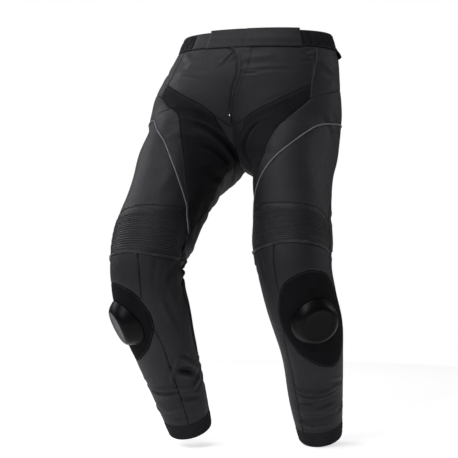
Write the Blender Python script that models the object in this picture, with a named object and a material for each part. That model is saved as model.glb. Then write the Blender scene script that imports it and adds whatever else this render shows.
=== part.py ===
"""Leather motorcycle trousers, worn shape, legs bent.

The origin is the centre of the waist opening, +Z is up and the wearer faces -Y. The wearer's left is +X.
The whole garment lies on one smooth surface. A point of it is given by
    side    +1 for the wearer's left half, -1 for the right half
    around  0 at the centre front (or the inseam), 0.5 at the outer side, 1 at the centre back (or the inseam)
    along   metres down from the waist edge: the crotch, the knee and the hem are CROTCH, KNEE and HEM
Each cut piece is a wall between named seams on that surface.
"""

import math

import bmesh
import bpy
import numpy as np
from mathutils import Vector, geometry

for each in list(bpy.data.objects):
    bpy.data.objects.remove(each)

# %% Sizes, in metres

RISE = 0.285
THIGH = 0.290
SHIN = 0.405
CROTCH = RISE
KNEE = CROTCH + THIGH
HEM = KNEE + SHIN

WALL = 0.0020
SEAM_GAP = 0.0003
SEAM_STEP = 0.016
CLOTH_STEP = 0.028
FOLD_STEP = 0.020

WAISTBAND_FOOT = 0.0400
CUFF_HEIGHT = 0.035
CUFF_TOP = HEM - CUFF_HEIGHT

# Where the legs go: a slow step, the right leg forward and out
CROTCH_POINT = np.array([-0.042, -0.004, -0.285])
KNEE_POINT = {+1: np.array([0.109, -0.119, -0.528]), -1: np.array([-0.212, -0.196, -0.515])}
HEM_POINT = {+1: np.array([0.132, 0.070, -0.918]), -1: np.array([-0.156, -0.022, -0.899])}
CROTCH_NORMAL = np.array([0.05, -0.37, -0.93])
CROTCH_ROUND = 0.020
HIP_SWAY_DEPTH = 0.240
KNEE_ARC = 0.085

# Each row is a section. Above the crotch it is measured from the centre line, below it from the leg's.
HIP_COLUMNS = ("along", "half_width", "spread", "inner", "front", "back", "centre_y", "square")
HIP_SECTIONS = (
    (0.000, 0.170, 0.000, 0.170, 0.106, 0.106, 0.000, 2.15),
    (0.050, 0.187, 0.004, 0.180, 0.114, 0.118, 0.000, 2.15),
    (0.110, 0.204, 0.022, 0.176, 0.120, 0.134, 0.000, 2.15),
    (0.170, 0.219, 0.048, 0.158, 0.122, 0.142, 0.000, 2.15),
    (0.230, 0.227, 0.078, 0.130, 0.126, 0.138, -0.002, 2.10),
)
LEG_COLUMNS = ("below_crotch", "outer", "inner", "front", "back", "square")
LEG_SECTIONS = (
    (0.000, 0.108, 0.116, 0.142, 0.130, 2.10),
    (0.050, 0.096, 0.089, 0.133, 0.120, 2.10),
    (0.110, 0.089, 0.081, 0.117, 0.110, 2.10),
    (0.170, 0.086, 0.083, 0.102, 0.098, 2.10),
    (0.230, 0.086, 0.087, 0.094, 0.086, 2.10),
    (0.290, 0.079, 0.080, 0.089, 0.080, 2.10),
    (0.350, 0.082, 0.073, 0.081, 0.080, 2.10),
    (0.420, 0.087, 0.067, 0.074, 0.078, 2.10),
    (0.500, 0.078, 0.060, 0.065, 0.073, 2.05),
    (0.600, 0.064, 0.057, 0.055, 0.060, 2.00),
    (0.695, 0.050, 0.049, 0.048, 0.050, 2.00),
)

# Soft folds of the worn shape. height is outwards, so a trough is negative.
FOLD_COLUMNS = ("side", "around", "along", "half_length", "slope", "half_width", "height")
FOLDS = (
    (+1, 0.83, 0.540, 0.070, -0.10, 0.012, -0.007),
    (+1, 0.81, 0.570, 0.080, 0.06, 0.012, -0.008),
    (+1, 0.84, 0.600, 0.070, 0.14, 0.013, -0.005),
    (-1, 0.86, 0.540, 0.080, -0.06, 0.012, -0.008),
    (-1, 0.83, 0.575, 0.085, 0.08, 0.012, -0.009),
    (-1, 0.86, 0.610, 0.070, 0.16, 0.013, -0.006),
    (+1, 0.12, 0.330, 0.055, 0.35, 0.014, -0.004),
    (-1, 0.12, 0.325, 0.060, 0.35, 0.014, -0.005),
    (+1, 0.24, 0.868, 0.060, 0.02, 0.010, -0.003),
    (+1, 0.26, 0.905, 0.055, -0.10, 0.010, -0.003),
    (-1, 0.22, 0.880, 0.060, 0.05, 0.010, -0.003),
    (+1, 0.80, 0.860, 0.060, 0.05, 0.012, -0.003),
    (-1, 0.80, 0.870, 0.060, -0.05, 0.012, -0.003),
    (-1, 0.90, 0.405, 0.080, 0.00, 0.080, -0.009),
    (-1, 0.60, 0.140, 0.090, 0.00, 0.060, -0.006),
    (+1, 0.95, 0.760, 0.060, 0.00, 0.090, -0.005),
)
WIDEST_MESHED_FOLD = 0.030

# The cloth has crept down the bent right leg and up the left one, most between these places
KNEE_CREEP = 0.0175
CREEP_START = (0.330, 0.450)
CREEP_END = (0.550, 0.800)

RIB_COUNT = 21
RIB_HEIGHT = 0.0016
RIB_FADE = 0.010

SLIDER_AROUND = 0.325
SLIDER_ALONG = 0.675
SLIDER_RADIUS = 0.053
SLIDER_PLATE_RADIUS = 0.040
SLIDER_HEIGHT = 0.020
SLIDER_SIDES = 32
SLIDER_RIM = 0.0030

PIPING_WIDTH = 0.0035
PIPING_HEIGHT = 0.0014
WELT_WIDTH = 0.0060
WELT_HEIGHT = 0.0024
OVERLAY_GAP = 0.0004
DISC_GAP = 0.0009

TAB_RIGHT = -0.155
TAB_LEFT = 0.225
TAB_RISE = 0.0035
TAB_LIFT = 0.0023
TAB_LAP = 0.017
ADJUSTER_START = 0.245
ADJUSTER_END = 0.500
FLAP_START = 0.500
FLAP_TOP = 0.032
FLAP_FOOT = 0.052
FLAP_FLARE = 0.006
FLAP_THICKNESS = 0.0016

# The fly's cover, as (around, along): down its free edge, round the foot and up to the waistband
FLY_THICKNESS = 0.0014
FLY_EDGE = (
    (-0.030, 0.0405), (-0.022, 0.060), (-0.014, 0.075), (-0.010, 0.090), (-0.008, 0.105), (-0.008, 0.120),
    (-0.010, 0.138), (-0.012, 0.155), (-0.014, 0.171), (-0.015, 0.187), (-0.015, 0.203), (-0.012, 0.217),
    (-0.004, 0.223), (0.002, 0.235), (0.012, 0.228), (0.018, 0.214), (0.021, 0.200), (0.025, 0.184),
    (0.028, 0.167), (0.030, 0.150), (0.031, 0.133), (0.032, 0.116), (0.032, 0.100), (0.031, 0.083),
    (0.029, 0.066), (0.026, 0.0405), (0.008, 0.0405), (-0.010, 0.0405),
)
STOP_AROUND = 0.0135
STOP_ALONG = 0.227
STOP_RADIUS = 0.0025
STOP_RIM = 0.0010
STOP_HEIGHT = 0.0045
STOP_SIDES = 12

# %% The surface


def unit(vector):
    return vector / np.linalg.norm(vector, axis=-1, keepdims=True)


def ease(t):
    t = np.clip(t, 0.0, 1.0)
    return t * t * (3 - 2 * t)


class Track:
    """A smooth curve through rows of numbers, read at any place along it."""

    def __init__(self, places, rows):
        self.places = np.asarray(places, float)
        self.rows = np.asarray(rows, float)
        step = np.diff(self.places)[:, None]
        slope = np.diff(self.rows, axis=0) / step
        inner = (slope[:-1] * step[1:] + slope[1:] * step[:-1]) / (step[1:] + step[:-1])
        first = 2 * slope[:1] - inner[:1]
        last = 2 * slope[-1:] - inner[-1:]
        self.slopes = np.concatenate([first, inner, last])

    def at(self, place):
        place = np.clip(place, self.places[0], self.places[-1])
        i = np.clip(np.searchsorted(self.places, place, side="right") - 1, 0, len(self.places) - 2)
        step = (self.places[i + 1] - self.places[i])[..., None]
        t = (place - self.places[i])[..., None] / step
        near = (1 + 2 * t) * (1 - t) ** 2 * self.rows[i] + t * (1 - t) ** 2 * step * self.slopes[i]
        far = t * t * (3 - 2 * t) * self.rows[i + 1] - t * t * (1 - t) * step * self.slopes[i + 1]
        return near + far


def sway(height):
    """How far the centre line has moved sideways at this height."""
    return CROTCH_POINT[0] * ease(-height / HIP_SWAY_DEPTH)


def leg_frame(side):
    """The thigh's start, its direction, and the front and outward directions of its first section."""
    inner = LEG_SECTIONS[0][LEG_COLUMNS.index("inner")]
    start = CROTCH_POINT + np.array([side * inner, 0.0, 0.02])
    for _ in range(5):
        down = unit(KNEE_POINT[side] - start)
        front = unit(np.array([0.0, down[2], -down[1]]))
        outward = np.cross(front, down)
        outward *= math.copysign(1.0, outward[0] * side)
        start = CROTCH_POINT + inner * outward
    return start, down, front, outward


def hip_rows(side, leg_front, leg_outward):
    for along, half_width, spread, inner, front, back, centre_y, square in HIP_SECTIONS:
        share = along / RISE
        turn = share**1.5
        forward = unit((1 - turn) * np.array([0.0, -1.0, 0.0]) + turn * leg_front)
        outward = unit((1 - turn) * np.array([side, 0.0, 0.0]) + turn * leg_outward)
        height = share * CROTCH_POINT[2]
        centre = np.array([sway(height), centre_y, height]) + outward * spread
        yield [along, *centre, *outward, *forward, half_width - spread, inner, front, back, square]


def leg_rows(side, start, thigh, first_front, first_outward):
    knee = KNEE_POINT[side]
    shin = unit(HEM_POINT[side] - knee)
    thigh_scale = np.linalg.norm(knee - start) / THIGH
    shin_scale = np.linalg.norm(HEM_POINT[side] - knee) / SHIN
    arc_start = knee - thigh * KNEE_ARC * thigh_scale
    arc_end = knee + shin * KNEE_ARC * shin_scale
    for below, outer, inner, front, back, square in LEG_SECTIONS:
        past_knee = below - THIGH
        if past_knee <= -KNEE_ARC:
            centre = start + (knee - start) * below / THIGH
            down = thigh
        elif past_knee >= KNEE_ARC:
            centre = knee + shin * past_knee * shin_scale
            down = shin
        else:
            t = (past_knee + KNEE_ARC) / (2 * KNEE_ARC)
            centre = (1 - t) ** 2 * arc_start + 2 * t * (1 - t) * knee + t * t * arc_end
            down = unit((1 - t) * (knee - arc_start) + t * (arc_end - knee))
        knee_front = unit(np.cross(np.cross(down, thigh - shin), down))
        turn = 1 - (1 - min(below / (THIGH - KNEE_ARC), 1.0)) ** 2
        own_front = unit(first_front - down * (first_front @ down))
        forward = unit((1 - turn) * own_front + turn * knee_front)
        outward = np.cross(forward, down)
        outward *= math.copysign(1.0, outward @ first_outward)
        yield [CROTCH + below, *centre, *outward, *forward, outer, inner, front, back, square]


def creep(side, along):
    """How far down the leg's sections the cloth lies below its place in the pattern."""
    start = ease((along - CREEP_START[0]) / (CREEP_START[1] - CREEP_START[0]))
    end = ease((along - CREEP_END[0]) / (CREEP_END[1] - CREEP_END[0]))
    return -side * KNEE_CREEP * start * (1 - end)


class Half:
    """One half of the garment: its sections, and where the centre plane cuts those above the crotch."""

    def __init__(self, side):
        self.side = side
        start, thigh, front, outward = leg_frame(side)
        rows = [*hip_rows(side, front, outward), *leg_rows(side, start, thigh, front, outward)]
        rows = np.array(rows)
        self.track = Track(rows[:, 0], rows[:, 1:])
        self.heights = np.concatenate([np.linspace(0, 0.2, 80, endpoint=False), np.linspace(0.2, RISE, 200)])
        self.cut = {end: self.cut_angles(end) for end in (+1, -1)}

    def ring(self, angle, along):
        row = self.track.at(along)
        centre = row[:, 0:3]
        outward = unit(row[:, 3:6])
        forward = row[:, 6:9]
        forward = unit(forward - outward * (forward * outward).sum(1, keepdims=True))
        outer, inner, front, back, square = row[:, 9:14].T
        cosine, sine = np.cos(angle), np.sin(angle)
        reach = np.where(cosine >= 0, outer, inner) * np.sign(cosine) * np.abs(cosine) ** (2 / square)
        depth = np.where(sine >= 0, front, back) * np.sign(sine) * np.abs(sine) ** (2 / square)
        return centre + outward * reach[:, None] + forward * depth[:, None], centre

    def cut_angles(self, end):
        """The angle from the outer side to the centre plane, at the front (+1) or at the back (-1)."""
        angles = np.linspace(math.pi / 3, math.pi, 480)
        found = []
        for along in self.heights:
            points, _ = self.ring(end * angles, np.full_like(angles, along))
            beyond = (points[:, 0] - sway(points[:, 2])) * self.side
            crossed = np.flatnonzero((beyond[:-1] > 0) & (beyond[1:] <= 0))
            if len(crossed):
                i = crossed[0]
                part = beyond[i] / (beyond[i] - beyond[i + 1])
                found.append(angles[i] + part * (angles[i + 1] - angles[i]))
            else:
                found.append(math.pi)
        found[-1] = math.pi
        return np.array(found)

    def points(self, around, along):
        share = 1 - 2 * around
        even = 0.5 + 0.5 * ease((along - 0.03) / 0.33)
        limit = np.where(
            share >= 0,
            np.interp(along, self.heights, self.cut[+1], right=math.pi),
            np.interp(along, self.heights, self.cut[-1], right=math.pi),
        )
        angle = math.pi * share * (even + (limit / math.pi - even) * share**2)
        place, centre = self.ring(angle, along)
        return place + unit(place - centre) * fold_height(self.side, around, along)[:, None]


def fold_height(side, around, along):
    """The folds' height outwards, in metres."""
    total = np.zeros_like(along)
    for fold_side, middle, level, half_length, slope, half_width, height in FOLDS:
        if fold_side != side:
            continue
        girth = 0.5
        sideways = (around - middle) * girth
        across = along - level - slope * sideways
        total += height * np.exp(-((sideways / half_length) ** 4) - (across / half_width) ** 2)
    return total


class Garment:
    """Both halves, joined where they meet along the centre front and the centre back."""

    MEND_WIDTH = 0.30

    def __init__(self):
        self.half = {+1: Half(+1), -1: Half(-1)}
        self.heights = self.half[+1].heights
        zeros = np.zeros_like(self.heights)
        self.mend = {}
        for end, around in ((0, zeros), (1, zeros + 1)):
            edges = {side: self.half[side].points(around, self.heights) for side in (+1, -1)}
            middle = (edges[+1] + edges[-1]) / 2
            for side in (+1, -1):
                self.mend[side, end] = middle - edges[side]

    def one_side(self, side, around, along):
        place = self.half[side].points(around, along)
        for end, distance in ((0, around), (1, 1 - around)):
            weight = 1 - ease(distance / self.MEND_WIDTH)
            for axis in range(3):
                shift = np.interp(along, self.heights, self.mend[side, end][:, axis], right=0.0)
                place[:, axis] += weight * shift
        return place

    def surface(self, side, around, along):
        """Points of the surface. around may pass 0 or 1: to the other half, or round the leg below the crotch."""
        around, along = np.broadcast_arrays(np.asarray(around, float), np.asarray(along, float))
        above = along <= CROTCH
        over_front, over_back = around < 0, around > 1
        other = above & (over_front | over_back)
        wrapped = np.where(over_front, np.where(above, -around, 1 + around), around)
        wrapped = np.where(over_back, np.where(above, 2 - around, around - 1), wrapped)
        level = np.clip(along, 0.0, HEM)
        place = np.empty((len(along), 3))
        for half_side, chosen in ((side, ~other), (-side, other)):
            if chosen.any():
                settled = level[chosen] + creep(half_side, level[chosen])
                place[chosen] = self.one_side(half_side, wrapped[chosen], settled)
        place[:, 2] += np.maximum(-along, 0.0)
        return place

    def normals(self, side, around, along):
        """Outward directions. Next to the crotch point, where many pieces meet, they turn to one direction."""
        small = 0.0015
        across = self.surface(side, around + small, along) - self.surface(side, around - small, along)
        level = np.clip(along, small, np.where(along < CROTCH, CROTCH, HEM) - small)
        downwards = self.surface(side, around, level + small) - self.surface(side, around, level - small)
        outward = unit(np.cross(downwards, across)) * side
        distance = np.linalg.norm(self.surface(side, around, along) - CROTCH_POINT, axis=1)
        near = np.exp(-((distance / CROTCH_ROUND) ** 2))[:, None]
        return unit(outward * (1 - near) + near * CROTCH_NORMAL)


GARMENT = Garment()

# %% Seams: each is a curve of (around, along) points between two junctions, the same on both sides

HIP_FRONT = (0.30, WAISTBAND_FOOT)
HIP_BACK = (0.60, WAISTBAND_FOOT)
CENTRE_FRONT = (0.00, WAISTBAND_FOOT)
CENTRE_BACK = (1.00, WAISTBAND_FOOT)
STRETCH_TOP = (0.30, 0.140)
STRETCH_SIDE = (0.32, 0.185)
GUSSET_TIP = (0.00, 0.252)
GUSSET_SIDE = (0.09, 0.250)
CROTCH_FRONT = (0.00, CROTCH)
CROTCH_BACK = (1.00, CROTCH)
HIP_SEAM_END = (0.60, 0.125)
PIPING_SIDE = (0.60, 0.205)
RIBS_CORNER = (0.055, 0.443)
STRETCH_FOOT = (0.00, 0.470)
PIPING_FOOT = (0.00, 0.487)
RIBS_FOOT = (0.00, 0.545)
RIBS_SIDE_TOP = (0.46, 0.500)
RIBS_SIDE_FOOT = (0.46, 0.562)
KNEE_SEAM_TOP = (0.197, 0.547)
PATCH_INNER = (0.180, 0.615)
PATCH_OUTER = (0.475, 0.622)
SHIN_SEAM_TOP = (0.172, 0.690)
PATCH_BACK = (0.500, 0.720)
CALF_OUTER = (0.70, 0.530)
CALF_INNER = (0.955, 0.535)
CALF_FOOT_OUTER = (0.72, 0.800)
CALF_FOOT_INNER = (0.935, 0.800)
CUFF_SHIN = (0.150, CUFF_TOP)
CUFF_OUTER = (0.480, CUFF_TOP)
CUFF_CALF = (0.730, CUFF_TOP)
CUFF_INNER = (0.930, CUFF_TOP)

SEAMS = {
    "band_front": (CENTRE_FRONT, (0.15, WAISTBAND_FOOT), HIP_FRONT),
    "band_side": (HIP_FRONT, (0.45, WAISTBAND_FOOT), HIP_BACK),
    "band_back": (HIP_BACK, (0.80, WAISTBAND_FOOT), CENTRE_BACK),
    "centre_front": (CENTRE_FRONT, (0.00, 0.150), GUSSET_TIP),
    "centre_back": (CENTRE_BACK, (1.00, 0.160), CROTCH_BACK),
    "hip_front": (HIP_FRONT, (0.295, 0.090), STRETCH_TOP),
    "stretch_end": (STRETCH_TOP, STRETCH_SIDE),
    "hip_back": (HIP_BACK, (0.60, 0.080), HIP_SEAM_END),
    "crescent_end": (HIP_SEAM_END, PIPING_SIDE),
    "hip_foot": (STRETCH_SIDE, (0.38, 0.162), (0.49, 0.136), HIP_SEAM_END),
    "stretch_brow": (GUSSET_SIDE, (0.175, 0.210), (0.240, 0.170), STRETCH_TOP),
    "gusset_brow": (GUSSET_TIP, (0.045, 0.253), GUSSET_SIDE),
    "gusset_side": (GUSSET_SIDE, (0.083, 0.268), (0.050, 0.280), CROTCH_FRONT),
    "inseam_stretch": (CROTCH_FRONT, (0.00, 0.380), STRETCH_FOOT),
    "inseam_crescent": (STRETCH_FOOT, PIPING_FOOT),
    "inseam_ribs": (PIPING_FOOT, RIBS_FOOT),
    "stretch_hem": (
        STRETCH_SIDE, (0.275, 0.225), (0.245, 0.272), (0.220, 0.310), (0.185, 0.338), (0.120, 0.381),
        (0.055, 0.430), STRETCH_FOOT,
    ),
    "piping": (
        PIPING_SIDE, (0.500, 0.222), (0.400, 0.255), (0.340, 0.298), (0.285, 0.332), (0.190, 0.378),
        (0.110, 0.415), RIBS_CORNER,
    ),
    "piping_end": (RIBS_CORNER, (0.025, 0.470), PIPING_FOOT),
    "thigh_side": (PIPING_SIDE, (0.585, 0.300), (0.540, 0.390), (0.475, 0.465), RIBS_SIDE_TOP),
    "ribs_top": (RIBS_CORNER, (0.125, 0.463), (0.215, 0.474), (0.310, 0.480), (0.400, 0.482), RIBS_SIDE_TOP),
    "ribs_side": (RIBS_SIDE_TOP, RIBS_SIDE_FOOT),
    "ribs_foot_inner": (RIBS_FOOT, (0.100, 0.548), KNEE_SEAM_TOP),
    "ribs_foot": (KNEE_SEAM_TOP, (0.300, 0.548), (0.390, 0.553), RIBS_SIDE_FOOT),
    "knee_seam": (KNEE_SEAM_TOP, (0.185, 0.585), PATCH_INNER),
    "knee_side": (RIBS_SIDE_FOOT, (0.466, 0.592), PATCH_OUTER),
    "patch_top": (PATCH_INNER, (0.245, 0.602), (0.330, 0.593), (0.410, 0.600), PATCH_OUTER),
    "patch_inner": (PATCH_INNER, (0.165, 0.652), SHIN_SEAM_TOP),
    "patch_foot": (
        SHIN_SEAM_TOP, (0.215, 0.722), (0.250, 0.743), (0.320, 0.772), (0.400, 0.783), (0.460, 0.764),
        PATCH_BACK,
    ),
    "patch_outer": (PATCH_OUTER, (0.515, 0.670), PATCH_BACK),
    "shin_inner": (SHIN_SEAM_TOP, (0.153, 0.740), (0.150, 0.850), CUFF_SHIN),
    "shin_outer": (PATCH_BACK, (0.490, 0.800), CUFF_OUTER),
    "knee_back_outer": (RIBS_SIDE_FOOT, (0.580, 0.550), CALF_OUTER),
    "knee_back": (CALF_OUTER, (0.830, 0.515), CALF_INNER),
    "knee_back_inner": (CALF_INNER, (1.00, 0.545)),
    "calf_inner": (CALF_INNER, (0.965, 0.680), CALF_FOOT_INNER),
    "calf_outer": (CALF_OUTER, (0.690, 0.650), CALF_FOOT_OUTER),
    "calf_foot": (CALF_FOOT_OUTER, (0.830, 0.825), CALF_FOOT_INNER),
    "heel_outer": (CALF_FOOT_OUTER, CUFF_CALF),
    "heel_inner": (CALF_FOOT_INNER, CUFF_INNER),
    "seat_foot": (PIPING_SIDE, (0.700, 0.248), (0.800, 0.276), (0.900, 0.292), CROTCH_BACK),
    "cuff_shin": (CUFF_SHIN, (0.300, CUFF_TOP), CUFF_OUTER),
    "cuff_outer": (CUFF_OUTER, CUFF_CALF),
    "cuff_calf": (CUFF_CALF, CUFF_INNER),
    "cuff_inner": (CUFF_INNER, (1.050, CUFF_TOP), (1.150, CUFF_TOP)),
}

# Each cut piece is the loop of seams round it. A minus turns a seam round, and a number after @ moves it
# round the leg by whole turns, where a piece passes the inseam.
PANELS = {
    "front_panel": ("centre_front", "gusset_brow", "stretch_brow", "-hip_front", "-band_front"),
    "side_panel": ("hip_front", "stretch_end", "hip_foot", "-hip_back", "-band_side"),
    "stretch_panel": (
        "stretch_brow", "stretch_end", "stretch_hem", "-inseam_stretch", "-gusset_side",
    ),
    "thigh_crescent": (
        "stretch_hem", "inseam_crescent", "-piping_end", "-piping", "-crescent_end", "-hip_foot",
    ),
    "thigh_front": ("piping", "ribs_top", "-thigh_side"),
    "knee_ribs": ("ribs_top", "ribs_side", "-ribs_foot", "-ribs_foot_inner", "-inseam_ribs", "-piping_end"),
    "knee_panel": ("ribs_foot", "knee_side", "-patch_top", "-knee_seam"),
    "knee_patch": ("patch_top", "patch_outer", "-patch_foot", "-patch_inner"),
    "shin_panel": ("patch_foot", "shin_outer", "-cuff_shin", "-shin_inner"),
    "inner_leg": (
        "ribs_foot_inner", "knee_seam", "patch_inner", "shin_inner", "-cuff_inner@-1", "-heel_inner@-1",
        "-calf_inner@-1", "knee_back_inner@-1",
    ),
    "outer_calf": (
        "knee_side", "patch_outer", "shin_outer", "cuff_outer", "-heel_outer", "-calf_outer",
        "-knee_back_outer",
    ),
    "calf_stretch": ("knee_back", "calf_inner", "-calf_foot", "-calf_outer"),
    "heel_panel": ("calf_foot", "heel_inner", "-cuff_calf", "-heel_outer"),
    "seat_panel": ("band_back", "centre_back", "-seat_foot", "-crescent_end", "-hip_back"),
    "thigh_back": (
        "seat_foot", "inseam_stretch@1", "inseam_crescent@1", "inseam_ribs@1", "-knee_back_inner",
        "-knee_back", "-knee_back_outer", "-ribs_side", "-thigh_side",
    ),
}

# %% Walls between seams


def seam_curve(name, side):
    """A seam's points, about SEAM_STEP apart, from one junction to the next."""
    knots = np.array(SEAMS[name])
    share = np.linspace(0, 1, 81)
    if len(knots) > 2:
        curve = Track(np.linspace(0, 1, len(knots)), knots).at(share)
    else:
        curve = knots[0] + share[:, None] * (knots[1] - knots[0])
    place = GARMENT.surface(side, curve[:, 0], curve[:, 1])
    length = np.concatenate([[0], np.cumsum(np.linalg.norm(np.diff(place, axis=0), axis=1))])
    count = max(round(length[-1] / SEAM_STEP), 1)
    stops = np.linspace(0, length[-1], count + 1)
    points = np.column_stack([np.interp(stops, length, curve[:, column]) for column in (0, 1)])
    points[0], points[-1] = knots[0], knots[-1]
    return points


def outline_of(pieces, side):
    """The loop of (around, along) points that a list of seams makes."""
    loop = []
    for piece in pieces:
        name, _, turns = piece.lstrip("-").partition("@")
        points = seam_curve(name, side) + [float(turns or 0), 0.0]
        if piece.startswith("-"):
            points = points[::-1]
        loop.extend(points[:-1])
    return np.array(loop)


def pattern_place(side, points):
    """The points laid flat, the right way round as seen from outside, in metres of a mean girth."""
    mean_girth = 0.5
    return np.column_stack([side * points[:, 0] * mean_girth, -points[:, 1]])


def distance_to_outline(points, outline):
    start, end = outline, np.roll(outline, -1, axis=0)
    line = end - start
    offset = points[:, None, :] - start[None]
    share = np.clip((offset * line).sum(2) / (line * line).sum(1), 0, 1)
    return np.linalg.norm(offset - share[..., None] * line, axis=2).min(1)


def inside_outline(points, outline):
    start, end = outline, np.roll(outline, -1, axis=0)
    x, y = points[:, 0, None], points[:, 1, None]
    spans = (start[:, 1] > y) != (end[:, 1] > y)
    rise = np.where(end[:, 1] == start[:, 1], 1e-12, end[:, 1] - start[:, 1])
    crossing = start[:, 0] + (y - start[:, 1]) * (end[:, 0] - start[:, 0]) / rise
    return (spans & (x < crossing)).sum(1) % 2 == 1


def fold_points(side):
    """Points along each fold's crest and both its feet, so that the walls follow it."""
    found = [np.empty((0, 2))]
    for fold_side, middle, level, half_length, slope, half_width, _ in FOLDS:
        if fold_side != side or half_width > WIDEST_MESHED_FOLD:
            continue
        level -= creep(side, level)
        girth = 0.5
        count = max(round(2 * half_length / FOLD_STEP), 2)
        sideways_by = np.linspace(-half_length, half_length, count + 1)
        for across in (-1.3 * half_width, 0.0, 1.3 * half_width):
            line = level + slope * sideways_by + across
            found.append(np.column_stack([middle + sideways_by / girth, line]))
    return np.concatenate(found)


def thinned(side, points, others, distance):
    """The points that are this far from all the others."""
    if not len(others) or not len(points):
        return points
    gaps = np.linalg.norm(pattern_place(side, points)[:, None] - pattern_place(side, others)[None], axis=2)
    return points[gaps.min(1) > distance]


def spread_points(side, outline, step):
    """Points about a step apart all over the inside of an outline, in level rows, closer at the folds."""
    low, high = outline.min(0), outline.max(0)
    rows = max(round((high[1] - low[1]) / step), 1)
    found = []
    for i in range(rows):
        along = low[1] + (i + 0.5) * (high[1] - low[1]) / rows
        across = GARMENT.surface(side, np.linspace(low[0], high[0], 9), np.full(9, along))
        width = np.linalg.norm(np.diff(across, axis=0), axis=1).sum()
        columns = max(round(width / step), 1)
        shift = 0.25 if i % 2 else 0.75
        around = low[0] + (np.arange(columns) + shift) * (high[0] - low[0]) / columns
        found.append(np.column_stack([around, np.full(columns, along)]))
    folds = fold_points(side)
    folds = np.concatenate([folds, folds - [1.0, 0.0], folds + [1.0, 0.0]])
    kept = np.empty((0, 2))
    for points, clear in ((folds, FOLD_STEP / 2), (np.concatenate(found), 0.6 * FOLD_STEP)):
        flat, border = pattern_place(side, points), pattern_place(side, outline)
        keep = inside_outline(flat, border)
        keep[keep] = distance_to_outline(flat[keep], border) > 0.35 * FOLD_STEP
        kept = np.concatenate([kept, thinned(side, points[keep], kept, clear)])
    return kept


def triangles_of(flat, border_count):
    """Triangles over a flat outline and the points inside it, outline points first."""
    edges = [(i, (i + 1) % border_count) for i in range(border_count)]
    inside_only = 1
    closest = 1e-7
    made, _, faces, *_ = geometry.delaunay_2d_cdt([Vector(p) for p in flat], edges, [], inside_only, closest)
    if len(made) != len(flat):
        raise ValueError("a seam crosses itself")
    return [tuple(face) for face in faces]


def drawn_in(place, normal):
    """Outline points moved in by half the seam gap, along the surface."""
    backward = unit(place - np.roll(place, 1, axis=0))
    forward = unit(np.roll(place, -1, axis=0) - place)
    first, second = np.cross(normal, backward), np.cross(normal, forward)
    scale = np.maximum(1 + (first * second).sum(1, keepdims=True), 0.35)
    return place + SEAM_GAP / 2 * (first + second) / scale


def anticlockwise(side, outline):
    x, y = pattern_place(side, outline).T
    return outline if (x * np.roll(y, -1) - y * np.roll(x, -1)).sum() > 0 else outline[::-1]


def face_points(side, outline, inner, lift):
    """The space points of an outline and of the points inside it, lifted off the surface."""
    points = np.concatenate([outline, inner])
    place = GARMENT.surface(side, points[:, 0], points[:, 1])
    normal = GARMENT.normals(side, points[:, 0], points[:, 1])
    count = len(outline)
    place[:count] = drawn_in(place[:count], normal[:count])
    return place + normal * lift(points)[:, None]


def closed_wall(top, top_faces, bottom, bottom_faces, count):
    """One body between two faces whose first `count` points are their outlines."""
    mesh = bmesh.new()
    upper = [mesh.verts.new(point) for point in top]
    lower = [mesh.verts.new(point) for point in bottom]
    for a, b, c in top_faces:
        mesh.faces.new((upper[a], upper[b], upper[c]))
    for a, b, c in bottom_faces:
        mesh.faces.new((lower[c], lower[b], lower[a]))
    for i in range(count):
        j = (i + 1) % count
        mesh.faces.new((upper[j], upper[i], lower[i], lower[j]))
    return mesh


def wall(side, outline, inner_face=-WALL / 2, outer_face=WALL / 2, flare=None):
    """A wall over an outline. Its faces are at these heights off the surface, and flare moves both."""
    outline = anticlockwise(side, outline)
    inner = spread_points(side, outline, CLOTH_STEP)
    count = len(outline)
    triangles = triangles_of(pattern_place(side, np.concatenate([outline, inner])), count)

    def face(height):
        def lift(points):
            return height + (flare(points) if flare else np.zeros(len(points)))

        return face_points(side, outline, inner, lift)

    return closed_wall(face(outer_face), triangles, face(inner_face), triangles, count)


def ribbed_wall(side):
    """The knee ribs: rounded ridges side by side from the ribs' top to their foot, over a plain inside."""
    outline = anticlockwise(side, outline_of(PANELS["knee_ribs"], side))
    top = np.concatenate([seam_curve("piping_end", side)[::-1], seam_curve("ribs_top", side)])
    foot = np.concatenate([seam_curve("ribs_foot_inner", side), seam_curve("ribs_foot", side)])
    squeeze = 0.1

    def share_down(points):
        high, low = (np.interp(points[:, 0], edge[:, 0], edge[:, 1]) for edge in (top, foot))
        return (points[:, 1] - high) / (low - high)

    def flat_place(points):
        depth = KNEE - RIBS_CORNER[1]
        return np.column_stack([side * points[:, 0] * squeeze, -share_down(points) * depth])

    def lift(points):
        border = distance_to_outline(pattern_place(side, points), pattern_place(side, outline))
        wave = 0.5 - 0.5 * np.cos(2 * math.pi * RIB_COUNT * share_down(points))
        return WALL / 2 + RIB_HEIGHT * wave * ease((border - WELT_WIDTH / 2) / RIB_FADE)

    columns = 11
    shares = np.arange(1, 2 * RIB_COUNT) / (2 * RIB_COUNT)
    around = RIBS_SIDE_TOP[0] * (np.arange(columns) + 0.5) / columns
    grid_around, grid_share = np.meshgrid(around, shares)
    high, low = (np.interp(grid_around, edge[:, 0], edge[:, 1]) for edge in (top, foot))
    ridges = np.column_stack([grid_around.ravel(), (high + grid_share * (low - high)).ravel()])
    plain = spread_points(side, outline, CLOTH_STEP)
    count = len(outline)
    return closed_wall(
        face_points(side, outline, ridges, lift),
        triangles_of(flat_place(np.concatenate([outline, ridges])), count),
        face_points(side, outline, plain, lambda points: np.full(len(points), -WALL / 2)),
        triangles_of(pattern_place(side, np.concatenate([outline, plain])), count),
        count,
    )


# %% Bands, strips and what lies on a panel


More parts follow.
